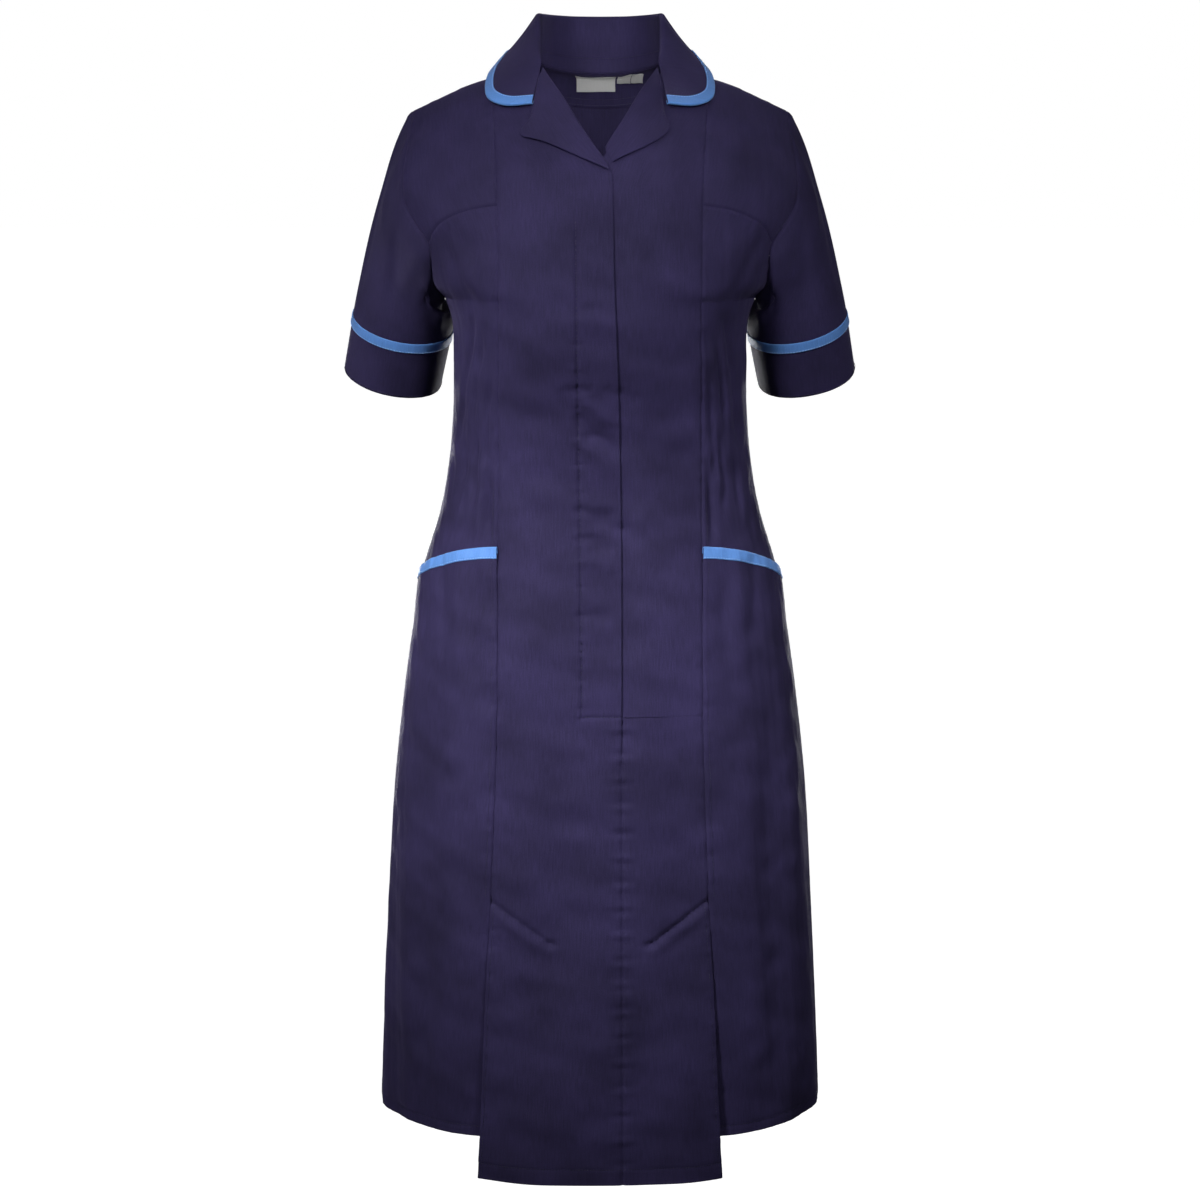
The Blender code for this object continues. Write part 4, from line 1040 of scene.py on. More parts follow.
def make_fronts():
    """Both fronts; the right one laps over the left one."""
    step = FRONT_STEP
    hem_row = FRONT_HEM + FRONT_HEM_TURN
    extra = [hem_row + d for d in (-0.0022, -0.0011, 0.0, 0.0011, 0.0022)]
    extra += [FLY_END + d for d in (-0.0022, -0.0011, 0.0, 0.0011, 0.0022)]
    rows = body_rows(FRONT_HEM, step, extra)

    def right(u, level):
        fly = fly_share(level)
        share = np.where(u <= 1.0, u * fly, mix(fly, 1.0, u - 1.0))
        inner = around_at(right_front_edge(level), level)
        outer = around_at(-front_princess(level), level)
        x = mix(right_front_edge(level), -front_princess(level), share)
        x = np.clip(x, -front_princess(level) + SEAM, 1.0)
        return np.clip(around_at(x, level), np.minimum(inner, outer), inner), level

    columns = np.concatenate((spaced(0.039, step), 1.0 + spaced(0.088, step)[1:]))
    piece = cut_piece("cloth_front_right", rows, columns, right, right_lift, cloth(),
                      seams=(0, 1, 0, 1))
    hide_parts("front_right")

    def left(share, level):
        x = mix(left_front_edge(level), front_princess(level) - SEAM, share)
        return around_at(x, level), level

    extra += [FLY_END + d for d in (-0.0006, 0.0006)]
    rows = body_rows(FRONT_HEM, step, extra)
    piece = cut_piece("cloth_front_left", rows, spaced(0.10, step), left, left_lift, cloth(),
                      seams=(0, 1, 0, 1))
    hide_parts("front_left")


def make_yoke(side, word):
    """A front yoke, from its seam up to the shoulder."""
    def spot(share, rise):
        level = mix(yoke_level(share) + SEAM / abs(UNDERARM), 1.0, rise)
        inner = around_at(side * front_princess(level), level)
        outer = around_at(side * front_cut(level), level)
        return trimmed(inner, outer, share, level), level

    def lift(around, level, share):
        return 0.0 * level

    piece = cut_piece(f"cloth_yoke_{word}", spaced(0.135, SIDE_STEP),
                      spaced(0.085, SIDE_STEP), spot, lift, cloth())
    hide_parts(f"yoke_front_{word}")
    return piece


# ---- sides and pockets ----------------------------------------------------------------
def side_inner(side, level):
    """Turn of the front princess seam."""
    return around_at(side * front_princess(level), level)


def side_outer(side, level):
    """Turn of the side seam, and of the armhole above it."""
    high = np.abs(around_at(front_cut(level), level))
    return side * np.where(level <= 0.0, 1.0, high)


def side_share(side, around, level):
    """Where a turn lies between the princess seam and the side."""
    inner, outer = side_inner(side, level), side_outer(side, level)
    return np.clip((around - inner) / (outer - inner), 0.0, 1.0)


def side_spot(side, share, level):
    """Turn and level of a point between the princess seam and the side."""
    return trimmed(side_inner(side, level), side_outer(side, level), share, level), level


def princess_row(side, around, level):
    """The stitched row beside the princess seam, on the side pieces."""
    point = form(around, level)
    x, z = point[..., 0], point[..., 2]
    gap = np.abs(x) - front_princess(level) - SIDE_ROW_GAP
    sewn = ease((-0.395 - z) / 0.03) * ease((z - PLEAT_TOP) / 0.01)
    pad = 0.0004 * np.exp(-(((gap + 0.0026) / 0.0022) ** 2))
    return sewn * (stitch_dent(gap, z, 0.0004, 0.0011, 0.00028, 0.4 * side) + pad)


def make_side_front(side, word):
    """A side front, from the pocket's mouth up to the yoke."""
    mouth = between((-POCKET_OVERLAP, 0.0), FRONT_STEP)
    waist = between((MOUTH_TOP + 0.004, UNDERARM), FRONT_STEP)
    chest = spaced(0.09, FRONT_STEP)[1:]

    def spot(share, row):
        low = mouth_z(share) + row - UNDERARM
        middle = mix(mouth_z(share), UNDERARM, row - 1.0) - UNDERARM
        high = yoke_level(share) * (row - 2.0)
        level = np.where(row <= 0.0, low, np.where(row <= 2.0, middle, high))
        level = np.where(row > 2.999, yoke_level(share) - SEAM / abs(UNDERARM), level)
        return side_spot(side, share, level)

    def lift(around, level, share):
        share = side_share(side, around, level)
        hidden = np.where(level > 0.0, 0.0, behind_pocket(share, UNDERARM + level))
        return hidden + princess_row(side, around, level)

    count = len(waist)
    rows = np.concatenate((mouth, 1.0 + np.arange(1, count) / (count - 1), 2.0 + chest))
    piece = cut_piece(f"cloth_side_front_{word}", rows, spaced(0.105, FRONT_STEP), spot, lift,
                      cloth(), seams=(1, 1, 0, 1))
    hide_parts(f"side_front_{word}")
    return piece


def side_row(share, row):
    """Height of a row that bends upward to follow the pocket's mouth."""
    high = mix(SIDE_BLEND, mouth_z(share), (row - SIDE_BLEND) / (MOUTH_TOP - SIDE_BLEND))
    return np.where(row <= SIDE_BLEND, row, high)


def make_side_skirt(side, word):
    """A side skirt, from its hem up to the pocket's mouth."""
    def spot(share, row):
        return side_spot(side, share, side_row(share, row) - UNDERARM)

    def lift(around, level, share):
        z = UNDERARM + level
        up = pocket_lift(side_share(side, around, level), z) + princess_row(side, around, level)
        gap = z - SIDE_HEM - SIDE_HEM_TURN
        up = up + stitch_dent(gap, along_hem(around, level), 0.0004, 0.0012)
        beside = np.abs(form(around, level)[..., 0]) - front_princess(level)
        return up - 0.0012 * ease((PLEAT_TOP - z) / 0.05) * np.exp(-((beside / 0.010) ** 2))

    hem_row = SIDE_HEM + SIDE_HEM_TURN
    knots = sorted({SIDE_HEM, SIDE_HEM + 0.0008, SIDE_HEM + 0.002, hem_row - 0.0011, hem_row,
                    hem_row + 0.0011, MOUTH_TOP - 0.003, MOUTH_TOP - 0.0012, MOUTH_TOP})
    rows = between(knots, SIDE_STEP)
    piece = cut_piece(f"cloth_side_skirt_{word}", rows, spaced(0.125, SIDE_STEP), spot, lift,
                      cloth(), seams=(1, 1, 0, 0))
    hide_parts(f"side_skirt_{word}")
    return piece


def along_hem(around, level):
    """Length around the form, along which a row's puckers run."""
    return around * quarter_girth(level)


def make_pocket(side, word):
    """The pocket's inner layer, which hangs behind its mouth."""
    def spot(share, row):
        z = side_row(share, row)
        z = np.where(row >= MOUTH_TOP, z - POCKET_OVERLAP - 2 * REST, z)
        return side_spot(side, share, z - UNDERARM)

    def lift(around, level, share):
        return behind_pocket(side_share(side, around, level), UNDERARM + level)

    rows = np.concatenate((between((POCKET_FLOOR, SIDE_BLEND, -0.480), 0.010), [MOUTH_TOP]))
    piece = cut_piece(f"cloth_pocket_{word}", rows, spaced(0.11, 0.008), spot, lift, cloth(),
                      wall=POCKET_CLOTH, seams=(0, 0, 0, 0))
    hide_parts(f"pocket_{word}")
    return piece


def bound_edge(name, face, edge, away, normal, half, node_name):
    """Binding folded over an edge: its face grid, then round the edge and under."""
    turn = np.linspace(pi / 2, -pi / 2, 9)[1:-1]
    over = [edge - away * (np.cos(a) * half) + normal * (np.sin(a) * half - half) for a in turn]
    under = [edge + away * back - normal * 2 * half for back in (0.0, 0.0022, 0.0045)]
    points = np.concatenate((face, np.stack(over + under, 0)), 0)
    points = facing_out(points, np.concatenate(
        (np.broadcast_to(normal, face.shape), np.zeros((len(turn) + 3, *normal.shape))), 0))
    piece = shell(name, points, BINDING, -1.0, finish_of("pale blue binding"),
                  soften=0.0002)
    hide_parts(node_name)
    return piece


def trim_line(side, drop, up):
    """A line that follows the pocket's mouth, and its normals."""
    share = np.linspace(0.0, 1.0, 90)
    level = mouth_z(share) - drop - UNDERARM
    around, level = side_spot(side, share, level)
    return on_form(around, level, pocket_lift(share, UNDERARM + level) + up
                   + drape(around, level)), form_normal(around, level)


def make_pocket_trim(side, word):
    """The pale binding of a pocket's mouth."""
    rows = [trim_line(side, drop, TRIM_PROUD - 0.0003 * (drop > 0.0092))[0]
            for drop in TRIM_ROWS]
    edge, normal = trim_line(side, TRIM_ROWS[-1], TRIM_PROUD)
    below, _ = trim_line(side, 0.006, TRIM_PROUD)
    half = 0.5 * (cloth_wall() + 2 * TRIM_PROUD)
    return bound_edge(f"binding_pocket_{word}", np.stack(rows, 0), edge, unit(below - edge),
                      normal, half, f"pocket_trim_{word}")


# ---- kick pleats ----------------------------------------------------------------------
def make_pleat(side, word):
    """A kick pleat's two layers: the turned one and the underlay behind it."""
    def spot_of(foot, inset):
        def spot(share, depth):
            top = mix(PLEAT_TOP, PLEAT_FOOT, share) - 0.006
            z = mix(foot, top, depth)
            level = z - UNDERARM
            x = mix(smooth(SEAMS, z, FRONT_PRINCESS) - inset, PLEAT_INNER, share)
            return around_at(side * x, level), level
        return spot

    def under_lift(around, level, share):
        kicked = kick(UNDERARM + level) - cloth_wall() - FACING - 2.4 * REST
        return np.minimum(0.0, kicked)

    def turned_lift(around, level, share):
        flat = kick(UNDERARM + level) - cloth_wall() - REST
        fold = under_lift(around, level, share) + FACING + 0.0002
        return mix(flat, np.minimum(flat, fold), ease((share - 0.82) / 0.16))

    pieces = []
    for name, foot, inset, lift in (
            ("kick_pleat", FRONT_HEM + 0.002, 0.0008, turned_lift),
            ("pleat_underlay", SIDE_HEM, 0.0004, under_lift)):
        piece = cut_piece(f"cloth_{name}_{word}", spaced(0.24, 0.006), spaced(0.06, 0.006),
                          spot_of(foot, inset), lift, cloth(), wall=FACING,
                          seams=(0, 0, 0, 0))
        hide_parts(f"{name}_{word}")
        pieces.append(piece)
    return pieces


# ---- back -----------------------------------------------------------------------------
def back_lift(around, level, share):
    """The stitched row above the back's hem."""
    gap = UNDERARM + level - SIDE_HEM - SIDE_HEM_TURN
    hem = stitch_dent(gap, along_hem(around, level), 0.0004)
    return np.where(level < -0.7, hem, 0.0)


def back_centre_spot(share, level):
    """Turn and level of a point of the centre back."""
    right = around_at(-back_princess(level), level, behind=True) + BACK_LAP
    left = around_at(back_princess(level), level, behind=True) - 4.0 - BACK_LAP
    return trimmed(right, left, share, level), level


def make_back_centre():
    """The centre back, between the two back princess seams."""
    extra = [SIDE_HEM + SIDE_HEM_TURN + d for d in (-0.0011, 0.0, 0.0011)]
    rows = body_rows(SIDE_HEM, BACK_STEP, extra)
    piece = cut_piece("cloth_back_centre", rows, spaced(0.20, BACK_STEP), back_centre_spot,
                      back_lift, cloth(), seams=(1, 1, 0, 1))
    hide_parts("back_centre")
    return piece


def make_side_back(side, word):
    """A side back, from the back princess seam to the side and armhole."""
    def spot(share, level):
        inner = around_at(side * back_princess(level), level, behind=True)
        cut = around_at(side * back_cut(np.maximum(level, 0.0)), level, behind=True)
        outer = np.where((level > 0.0) & (level < 1.0), cut, side)
        return trimmed(inner, outer, share, level), level

    extra = [SIDE_HEM + SIDE_HEM_TURN + d for d in (-0.0011, 0.0, 0.0011)]
    rows = body_rows(SIDE_HEM, BACK_STEP, extra)
    piece = cut_piece(f"cloth_side_back_{word}", rows, spaced(0.13, BACK_STEP), spot, back_lift,
                      cloth(), seams=(1, 1, 0, 1))
    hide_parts(f"side_back_{word}")
    return piece


# ---- sleeves --------------------------------------------------------------------------
def sleeve_frame(side):
    """A sleeve's axis, the directions across and forward, and its hem's centre."""
    axis = SLEEVE_AXIS * (side, 1.0, 1.0)
    across = np.array((side, 0.0, 0.0))
    across = unit(across - axis * across.dot(axis))
    fore = np.array((0.0, -1.0, 0.0))
    fore = unit(fore - axis * fore.dot(axis) - across * fore.dot(across))
    return axis, across, fore, CUFF_HEM * (side, 1.0, 1.0)


def cuff_point(side, share, up, lift):
    """Points around a cuff at a height above its hem, lifted outward."""
    axis, across, fore, hem = sleeve_frame(side)
    rise = up / CUFF_HEIGHT
    wide = mix(CUFF_HEM_RADII[0], CUFF_TOP_RADII[0], rise) + lift
    deep = mix(CUFF_HEM_RADII[1], CUFF_TOP_RADII[1], rise) + lift
    angle = np.asarray(share) * 2.0 * pi
    return (hem - axis * up - across * (np.cos(angle) * wide)[..., None]
            + fore * (np.sin(angle) * deep)[..., None])


def cuff_out(side, share):
    """Outward directions around a cuff."""
    _, across, fore, _ = sleeve_frame(side)
    angle = np.asarray(share) * 2.0 * pi
    return unit(-across * np.cos(angle)[..., None] + fore * np.sin(angle)[..., None])


def armhole_ring(side):
    """Points round the armhole from the underarm, with form coordinates and shares."""
    high = 0.5 - 0.5 * np.cos(np.linspace(0.0, pi, 76))
    front = around_at(side * front_cut(high), high)
    back = around_at(side * back_cut(high[-2:0:-1]), high[-2:0:-1], behind=True)
    around = np.concatenate(([side], front[1:], back))
    level = np.concatenate((high, high[-2:0:-1]))
    edge = form(around, level)
    tangent = unit(np.roll(edge, -1, 0) - np.roll(edge, 1, 0))
    away = unit(np.cross(form_normal(around, level), tangent))
    inward = edge.mean(0) + (side * 0.03, 0.0, 0.0) - edge
    away = np.where((away * inward).sum(-1, keepdims=True) > 0.0, away, -away)
    ring = edge - away * 0.0011 - form_normal(around, level) * 0.0004
    run = np.linalg.norm(np.roll(ring, -1, 0) - ring, axis=1)
    done = np.concatenate(([0.0], np.cumsum(run)))
    top = len(high) - 1
    half, whole = done[top], done[-1]
    share = np.where(np.arange(len(ring)) <= top, 0.5 * done[:-1] / half,
                     0.5 + 0.5 * (done[:-1] - half) / (whole - half))
    return ring, level, share


def make_sleeve(side, word):
    """A sleeve, curving from the armhole down to the cuff."""
    ring, level, share = armhole_ring(side)
    axis = sleeve_frame(side)[0]
    end = cuff_point(side, share, CUFF_HEIGHT + 2 * SEAM, 0.0)
    top = ease(level)[:, None]
    leave = unit(np.concatenate((side * mix(0.40, 0.62, top), 0.05 + 0.0 * top,
                                 mix(-0.90, -0.78, top)), 1))
    pull = mix(0.10, 0.13, top)
    t = spaced(0.18, 0.0032)[:, None, None]
    points = (ring * (2 * t**3 - 3 * t**2 + 1) + end * (3 * t**2 - 2 * t**3)
              + leave * pull * (t**3 - 2 * t**2 + t) + axis * 0.12 * (t**3 - t**2))
    points = np.concatenate((points, points[:, :1]), 1)
    hem = sleeve_frame(side)[3]
    middle = hem + axis * ((points - hem) @ axis)[..., None]
    points = facing_out(points, points - middle, ring=True)
    flipped = not np.allclose(points[0, 1], ring[1])
    round_share = np.concatenate((share, [1.0]))
    round_share = round_share[::-1] if flipped else round_share
    normals = grid_normals(points, ring=True)
    s = round_share[None, :] * SLEEVE_GIRTH + 0.0 * t[:, :, 0]
    run = t[:, :, 0] * SLEEVE_RUN + 0.0 * s
    marks = [(s1 * SLEEVE_GIRTH, t1 * SLEEVE_RUN, s2 * SLEEVE_GIRTH, t2 * SLEEVE_RUN, wide, tall)
             for s1, t1, s2, t2, wide, tall in SLEEVE_CREASES]
    up = crease_sum(s, run, marks) * crease_depth()
    up = up + 0.0007 * wander(s, 0.016, 0.5) * np.exp(-((run / 0.012) ** 2)) \
        * ease(np.sin(pi * round_share) ** 2)[None, :]
    up = up * ease(run / 0.006) * ease((SLEEVE_RUN - run) / 0.006)
    up = up - 0.0005 * np.exp(-((run / 0.0016) ** 2))
    up = up + 0.0005 * np.exp(-(((run - 0.0075) / 0.0035) ** 2))
    points = points + normals * up[..., None]
    piece = shell(f"cloth_sleeve_{word}", points, cloth_wall(), -1.0, cloth(),
                  ring=True)
    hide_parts(f"sleeve_{word}")
    return piece


def cuff_band(side, ups, lift, count=150):
    """A closed band of rows around a cuff."""
    share = np.linspace(0.0, 1.0, count + 1)
    rows = [cuff_point(side, share, up, lift(up, share)) for up in ups]
    points = np.stack(rows, 0)
    return facing_out(points, np.broadcast_to(cuff_out(side, share), points.shape), ring=True)


def make_cuff(side, word):
    """A cuff and the pale binding along its top."""
    def cloth_lift(up, share):
        folds = 0.0007 * wander(share * SLEEVE_GIRTH, 0.12, side) * ease(1.0 - up / CUFF_HEIGHT)
        return folds + stitch_dent(up - CUFF_ROW, share * CUFF_GIRTH, 0.0002, 0.0012, 0.00015)

    ups = between((CUFF_HEIGHT, CUFF_HEIGHT - 0.001, 0.004, CUFF_ROW, 0.0010, 0.0), 0.0030)
    points = cuff_band(side, ups, cloth_lift)
    piece = shell(f"cloth_cuff_{word}", points, cloth_wall(), -1.0, cloth(),
                  ring=True)
    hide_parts(f"cuff_{word}")

    def trim_lift(up, share):
        edge = min(up - (CUFF_HEIGHT - TRIM_WIDTH), CUFF_HEIGHT + 0.0006 - up)
        return 0.0011 - 0.00035 * float(np.exp(-(edge / 0.0007) ** 2)) + 0.0 * share

    ups = between((CUFF_HEIGHT + 0.0006, CUFF_HEIGHT, CUFF_HEIGHT - TRIM_WIDTH + 0.0014,
                   CUFF_HEIGHT - TRIM_WIDTH + 0.0006, CUFF_HEIGHT - TRIM_WIDTH), 0.0016)
    trim = shell(f"binding_cuff_{word}", cuff_band(side, ups, trim_lift), CUFF_BINDING, -1.0,
                 finish_of("pale blue binding"), ring=True,
                 soften=0.00025)
    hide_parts(f"cuff_trim_{word}")
    return piece, trim


# ---- collar and lapels ----------------------------------------------------------------
def collar_shares():
    """Shares from the collar's right end round the neck to its left end, with sides."""
    half = np.linspace(0.0, 1.0, 110)
    return np.concatenate((half[::-1], half[1:])), np.concatenate((-np.ones(110), np.ones(109)))


def collar_lines(share, side):
    """Neckline, fold and edge of the collar at each share."""
    lines = []
    for column in (1, 4, 7):
        line = np.stack([smooth(COLLAR, share, column + k) for k in range(3)], -1)
        line[:, 0] *= side
        lines.append(line)
    return lines


def collar_parts(share, side):
    """Neckline, fold and edge of the collar at each share, with the fold's own frame."""
    neck, roll, edge = collar_lines(share, side)
    radius = np.minimum(0.0026, 0.45 * np.linalg.norm(roll - neck, axis=1))[:, None]
    up = unit(roll - neck)
    out = edge - roll
    out = unit(out - up * (out * up).sum(1, keepdims=True))
    centre = roll - up * radius + out * radius
    fold = centre + (out * 0.75 + up * 0.66) * radius
    flat = np.stack((-out[:, 1], out[:, 0], np.zeros(len(out))), -1)
    normal = unit(np.cross(edge - fold, flat))
    normal = np.where(normal[:, 2:] > 0.0, normal, -normal)
    return neck, edge, radius, up, out, centre, fold, normal


def leaf_point(parts, step):
    """Points on the collar's leaf from its fold to its edge."""
    _, edge, _, _, _, _, fold, normal = parts
    return mix(fold, edge, step) + normal * (LEAF_BULGE * np.sin(step * pi))


def collar_rows(parts, backs):
    """Rows on the leaf at distances in from its edge, with the cloth's normals."""
    length = np.linalg.norm(parts[1] - parts[6], axis=1)[:, None]
    grid = np.stack([leaf_point(parts, 1.0 - back / length) for back in backs], 0)
    normals = grid_normals(grid)
    return grid, normals if (normals * parts[7]).sum() > 0.0 else -normals


def make_collar():
    """The folded collar and the pale binding along its edge."""
    share, side = collar_shares()
    parts = collar_parts(share, side)
    neck, _, radius, up, out, centre, _, _ = parts
    start = centre - out * radius
    tuck = (0.055 * ease((0.62 - share) / 0.25))[:, None]
    section = [mix(neck, start, s) for s in (-tuck, 0.03, 0.08, 0.25, 0.42, 0.58, 0.75, 0.9)]
    section += [centre - out * radius * np.cos(a) + up * radius * np.sin(a)
                for a in np.linspace(0.0, 2.42, 9)[:-1]]
    section += [leaf_point(parts, s) for s in np.linspace(0.0, 1.0, 17)]
    points = np.stack(section, 0)
    outward = np.zeros_like(points)
    outward[-6:-1] = parts[7]
    points = facing_out(points, outward)
    piece = shell("cloth_collar", points, FOLDED, 0.0, cloth(), soften=0.0006)
    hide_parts("collar")

    grid, normals = collar_rows(parts, TRIM_ROWS)
    top = FOLDED / 2 + TRIM_PROUD
    heights = np.array([top - 0.0003, *[top] * 7])[:, None, None]
    face = grid + normals * heights
    normal = normals[-1]
    away = unit(grid[-3] - grid[-1])
    trim = bound_edge("binding_collar", face, face[-1], away, normal, top, "collar_trim")
    return piece, trim


def make_lapel(side, word, table):
    """A lapel, turned back over its front."""
    def spot(share, row):
        x = mix(smooth(table, row, ROLL_X), smooth(table, row, EDGE_X), share)
        z = mix(smooth(table, row, ROLL_Z), smooth(table, row, EDGE_Z), share)
        level = level_at(x, z)
        return around_at(side * x, level), level

    def base(around, level):
        dip = left_dip(around, level) if side > 0.0 else 0.0 * level
        return dip + drape(around, level)

    row = spaced(0.12, 0.0022)
    columns = spaced(0.030, 0.0018)
    share, rows = np.meshgrid(columns, row)
    around, level = spot(share, rows)
    puff = 0.0006 + 0.0022 * ease(share / 0.8) + 0.0026 * np.sin(pi * share) * (1.0 - rows)
    over = on_form(around, level, base(around, level) + FOLDED + REST + puff)
    start = on_form(around[:, 0], level[:, 0], base(around[:, 0], level[:, 0]))
    outer_near = on_form(around[:, 6], level[:, 6], base(around[:, 6], level[:, 6]))
    normal = form_normal(around[:, 0], level[:, 0])
    away = unit(outer_near - start)
    thick = FOLDED + REST + 0.0006
    low = -(cloth_wall() + REST + FOLDED)
    middle, radius = (thick + low) / 2, (thick - low) / 2
    wrap = [start + normal * (middle + radius * np.sin(a)) - away * (radius * np.cos(a))
            for a in np.linspace(-pi / 2, pi / 2, 11)[:-1]]
    under = [start + normal * low + away * back * (1.0 - 0.6 * row[:, None])
             for back in (0.012, 0.008, 0.004)]
    points = np.concatenate((np.stack(under + wrap, 1), over), 1)
    outward = np.zeros_like(points)
    outward[:, -len(columns):] = form_normal(around, level)
    points = facing_out(points, outward)
    piece = shell(f"cloth_lapel_{word}", points, FOLDED, -1.0, cloth(),
                  soften=0.0006)
    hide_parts(f"lapel_{word}")
    return piece


# ---- inside the back neck -------------------------------------------------------------
def make_facing():
    """The facing inside the back neck."""
    def lift(around, level, share):
        return -cloth_wall() - REST + 0.0 * level

    rows = between((FACING_LEVEL, FACING_LEVEL + 0.004, 1.0), 0.0028, 0.21)
    piece = cut_piece("cloth_back_neck_facing", rows, spaced(0.20, 0.004), back_centre_spot,
                      lift, cloth(), wall=FACING, seams=(0, 0, 0, 0))
    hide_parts("back_neck_facing")
    return piece


def make_label_piece(name, x_span, z_span, node_name):
    """One bare label inside the back neck."""
    def spot(share, row):
        x = mix(x_span[0], x_span[1], share)
        level = level_at(x, mix(z_span[0], z_span[1], row), behind=True)
        return around_at(x, level, behind=True), level

    share, row = np.meshgrid(spaced(x_span[1] - x_span[0], 0.0015),
                             spaced(z_span[1] - z_span[0], 0.0015))
    around, level = spot(share, row)
    up = -cloth_wall() - REST - FACING - 5.5 * REST - 0.0009 * np.sin(pi * row) \
        - 0.0004 * np.sin(2 * pi * share)
    points = on_form(around, level, up)
    points = facing_out(points, -form_normal(around, level))
    piece = shell(name, points, LABEL, -1.0, finish_of("woven label"),
                  soften=0.00015)
    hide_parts(node_name)
    return piece


# ---- what the operators build ---------------------------------------------------------
SIDES = ((-1.0, "right"), (1.0, "left"))


def sewn_front():
    """Stitched rows of the fronts."""
    lines = []
    z = np.linspace(FLY_END + 0.001, FLY_STITCH_TOP, 300)
    around, level = front_spot(smooth(SEAMS, z, FLY_STITCH), z)
    lines.append(body_line(around, level, right_lift(around, level, None) + STITCH_RISE))
    x = np.linspace(FLY_FOOT, smooth(SEAMS, FLY_END, FLY_EDGE) - 0.0008, 40)
    around, level = front_spot(x, np.full_like(x, FLY_END))
    lines.append(body_line(around, level, right_lift(around, level, None) + STITCH_RISE))
    for side, _ in SIDES:
        lift = right_lift if side < 0 else left_lift
        z = np.linspace(FRONT_HEM + 0.002, PLEAT_TOP, 140)
        x = smooth(SEAMS, z, FRONT_PRINCESS) - PLEAT_ROW_GAP
        around, level = front_spot(side * x, z)
        lines.append(body_line(around, level, lift(around, level, None) + STITCH_RISE))
        share = np.linspace(0.02, 1.0, 40)
        x, z = mix(PLEAT_OUTER, PLEAT_INNER, share), mix(PLEAT_TOP, PLEAT_FOOT, share)
        around, level = front_spot(side * x, z)
        lines.append(body_line(around, level, lift(around, level, None) + STITCH_RISE))
        edge = smooth(SEAMS, FRONT_HEM, FLY_EDGE)
        start = edge - 0.001 if side < 0 else edge + 0.001
        x = np.linspace(start, side * (smooth(SEAMS, FRONT_HEM, FRONT_PRINCESS) - 0.002), 90)
        around, level = front_spot(x, np.full_like(x, FRONT_HEM + FRONT_HEM_TURN))
        lines.append(body_line(around, level, lift(around, level, None) + STITCH_RISE))
    return lines


def sewn_sides():
    """Stitched rows of the side pieces."""
    lines = []
    for side, _ in SIDES:
        for low, high, proud in ((PLEAT_TOP + 0.004, MOUTH_TOP - TRIM_WIDTH - 0.003, True),
                                 (MOUTH_TOP + 0.003, -0.400, False)):
            z = np.linspace(low, high, 120)
            x = smooth(SEAMS, z, FRONT_PRINCESS) + SIDE_ROW_GAP
            around, level = front_spot(side * x, z)
            share = side_share(side, around, level)
            up = pocket_lift(share, z) if proud else 0.0 * z
            up = up + princess_row(side, around, level) + STITCH_RISE
            lines.append(body_line(around, level, up))
        share = np.linspace(0.01, 0.995, 120)
        level = np.full_like(share, SIDE_HEM + SIDE_HEM_TURN - UNDERARM)
        around, level = side_spot(side, share, level)
        up = stitch_dent(0.0, along_hem(around, level), 0.0004, 0.0012) + STITCH_RISE
        beside = np.abs(form(around, level)[..., 0]) - front_princess(level)
        up = up - 0.0012 * np.exp(-((beside / 0.010) ** 2))
        lines.append(body_line(around, level, up))
    return lines


def sewn_back():
    """Stitched rows of the back and its facing."""
    share = np.linspace(0.002, 0.998, 260)
    level = np.full_like(share, SIDE_HEM + SIDE_HEM_TURN - UNDERARM)
    around = mix(-1.0, -3.0, share)
    up = back_lift(around, level, None) + STITCH_RISE
    lines = [body_line(around, level, up)]
    for rise in (0.012, 0.040):
        level = np.full_like(share, FACING_LEVEL + rise)
        around, level = back_centre_spot(share, level)
        up = -cloth_wall() - REST - FACING - STITCH_RISE
        points, normals = body_line(around, level, up)
        lines.append((points, -normals))
    return lines


def sewn_cuffs():
    """Stitched rows around the cuffs."""
    share = np.linspace(0.0, 1.0, 160)
    return [(cuff_point(side, share, CUFF_ROW, STITCH_RISE), cuff_out(side, share))
            for side, _ in SIDES]


def sewn_collar():
    share, side = collar_shares()
    parts = collar_parts(share, side)
    neck, _, radius, _, out, centre, _, _ = parts
    line = mix(neck, centre - out * radius, 0.24)[14:-14]
    normals = -out[14:-14]
    return [(line + normals * FOLDED / 2, normals)]


def sewn_bindings():
    """Stitched rows along the pale bindings."""
    lines = []
    for side, _ in SIDES:
        lines.append(trim_line(side, TRIM_WIDTH - 0.0012, TRIM_PROUD))
        share = np.linspace(0.0, 1.0, 160)
        up = CUFF_HEIGHT - TRIM_WIDTH + 0.0012
        lines.append((cuff_point(side, share, up, 0.0011), cuff_out(side, share)))
    share, side = collar_shares()
    parts = collar_parts(share, side)
    grid, normals = collar_rows(parts, (TRIM_WIDTH, TRIM_WIDTH - 0.0012, 0.0070))
    lines.append((grid[1] + normals[1] * (FOLDED / 2 + TRIM_PROUD), normals[1]))
    return lines


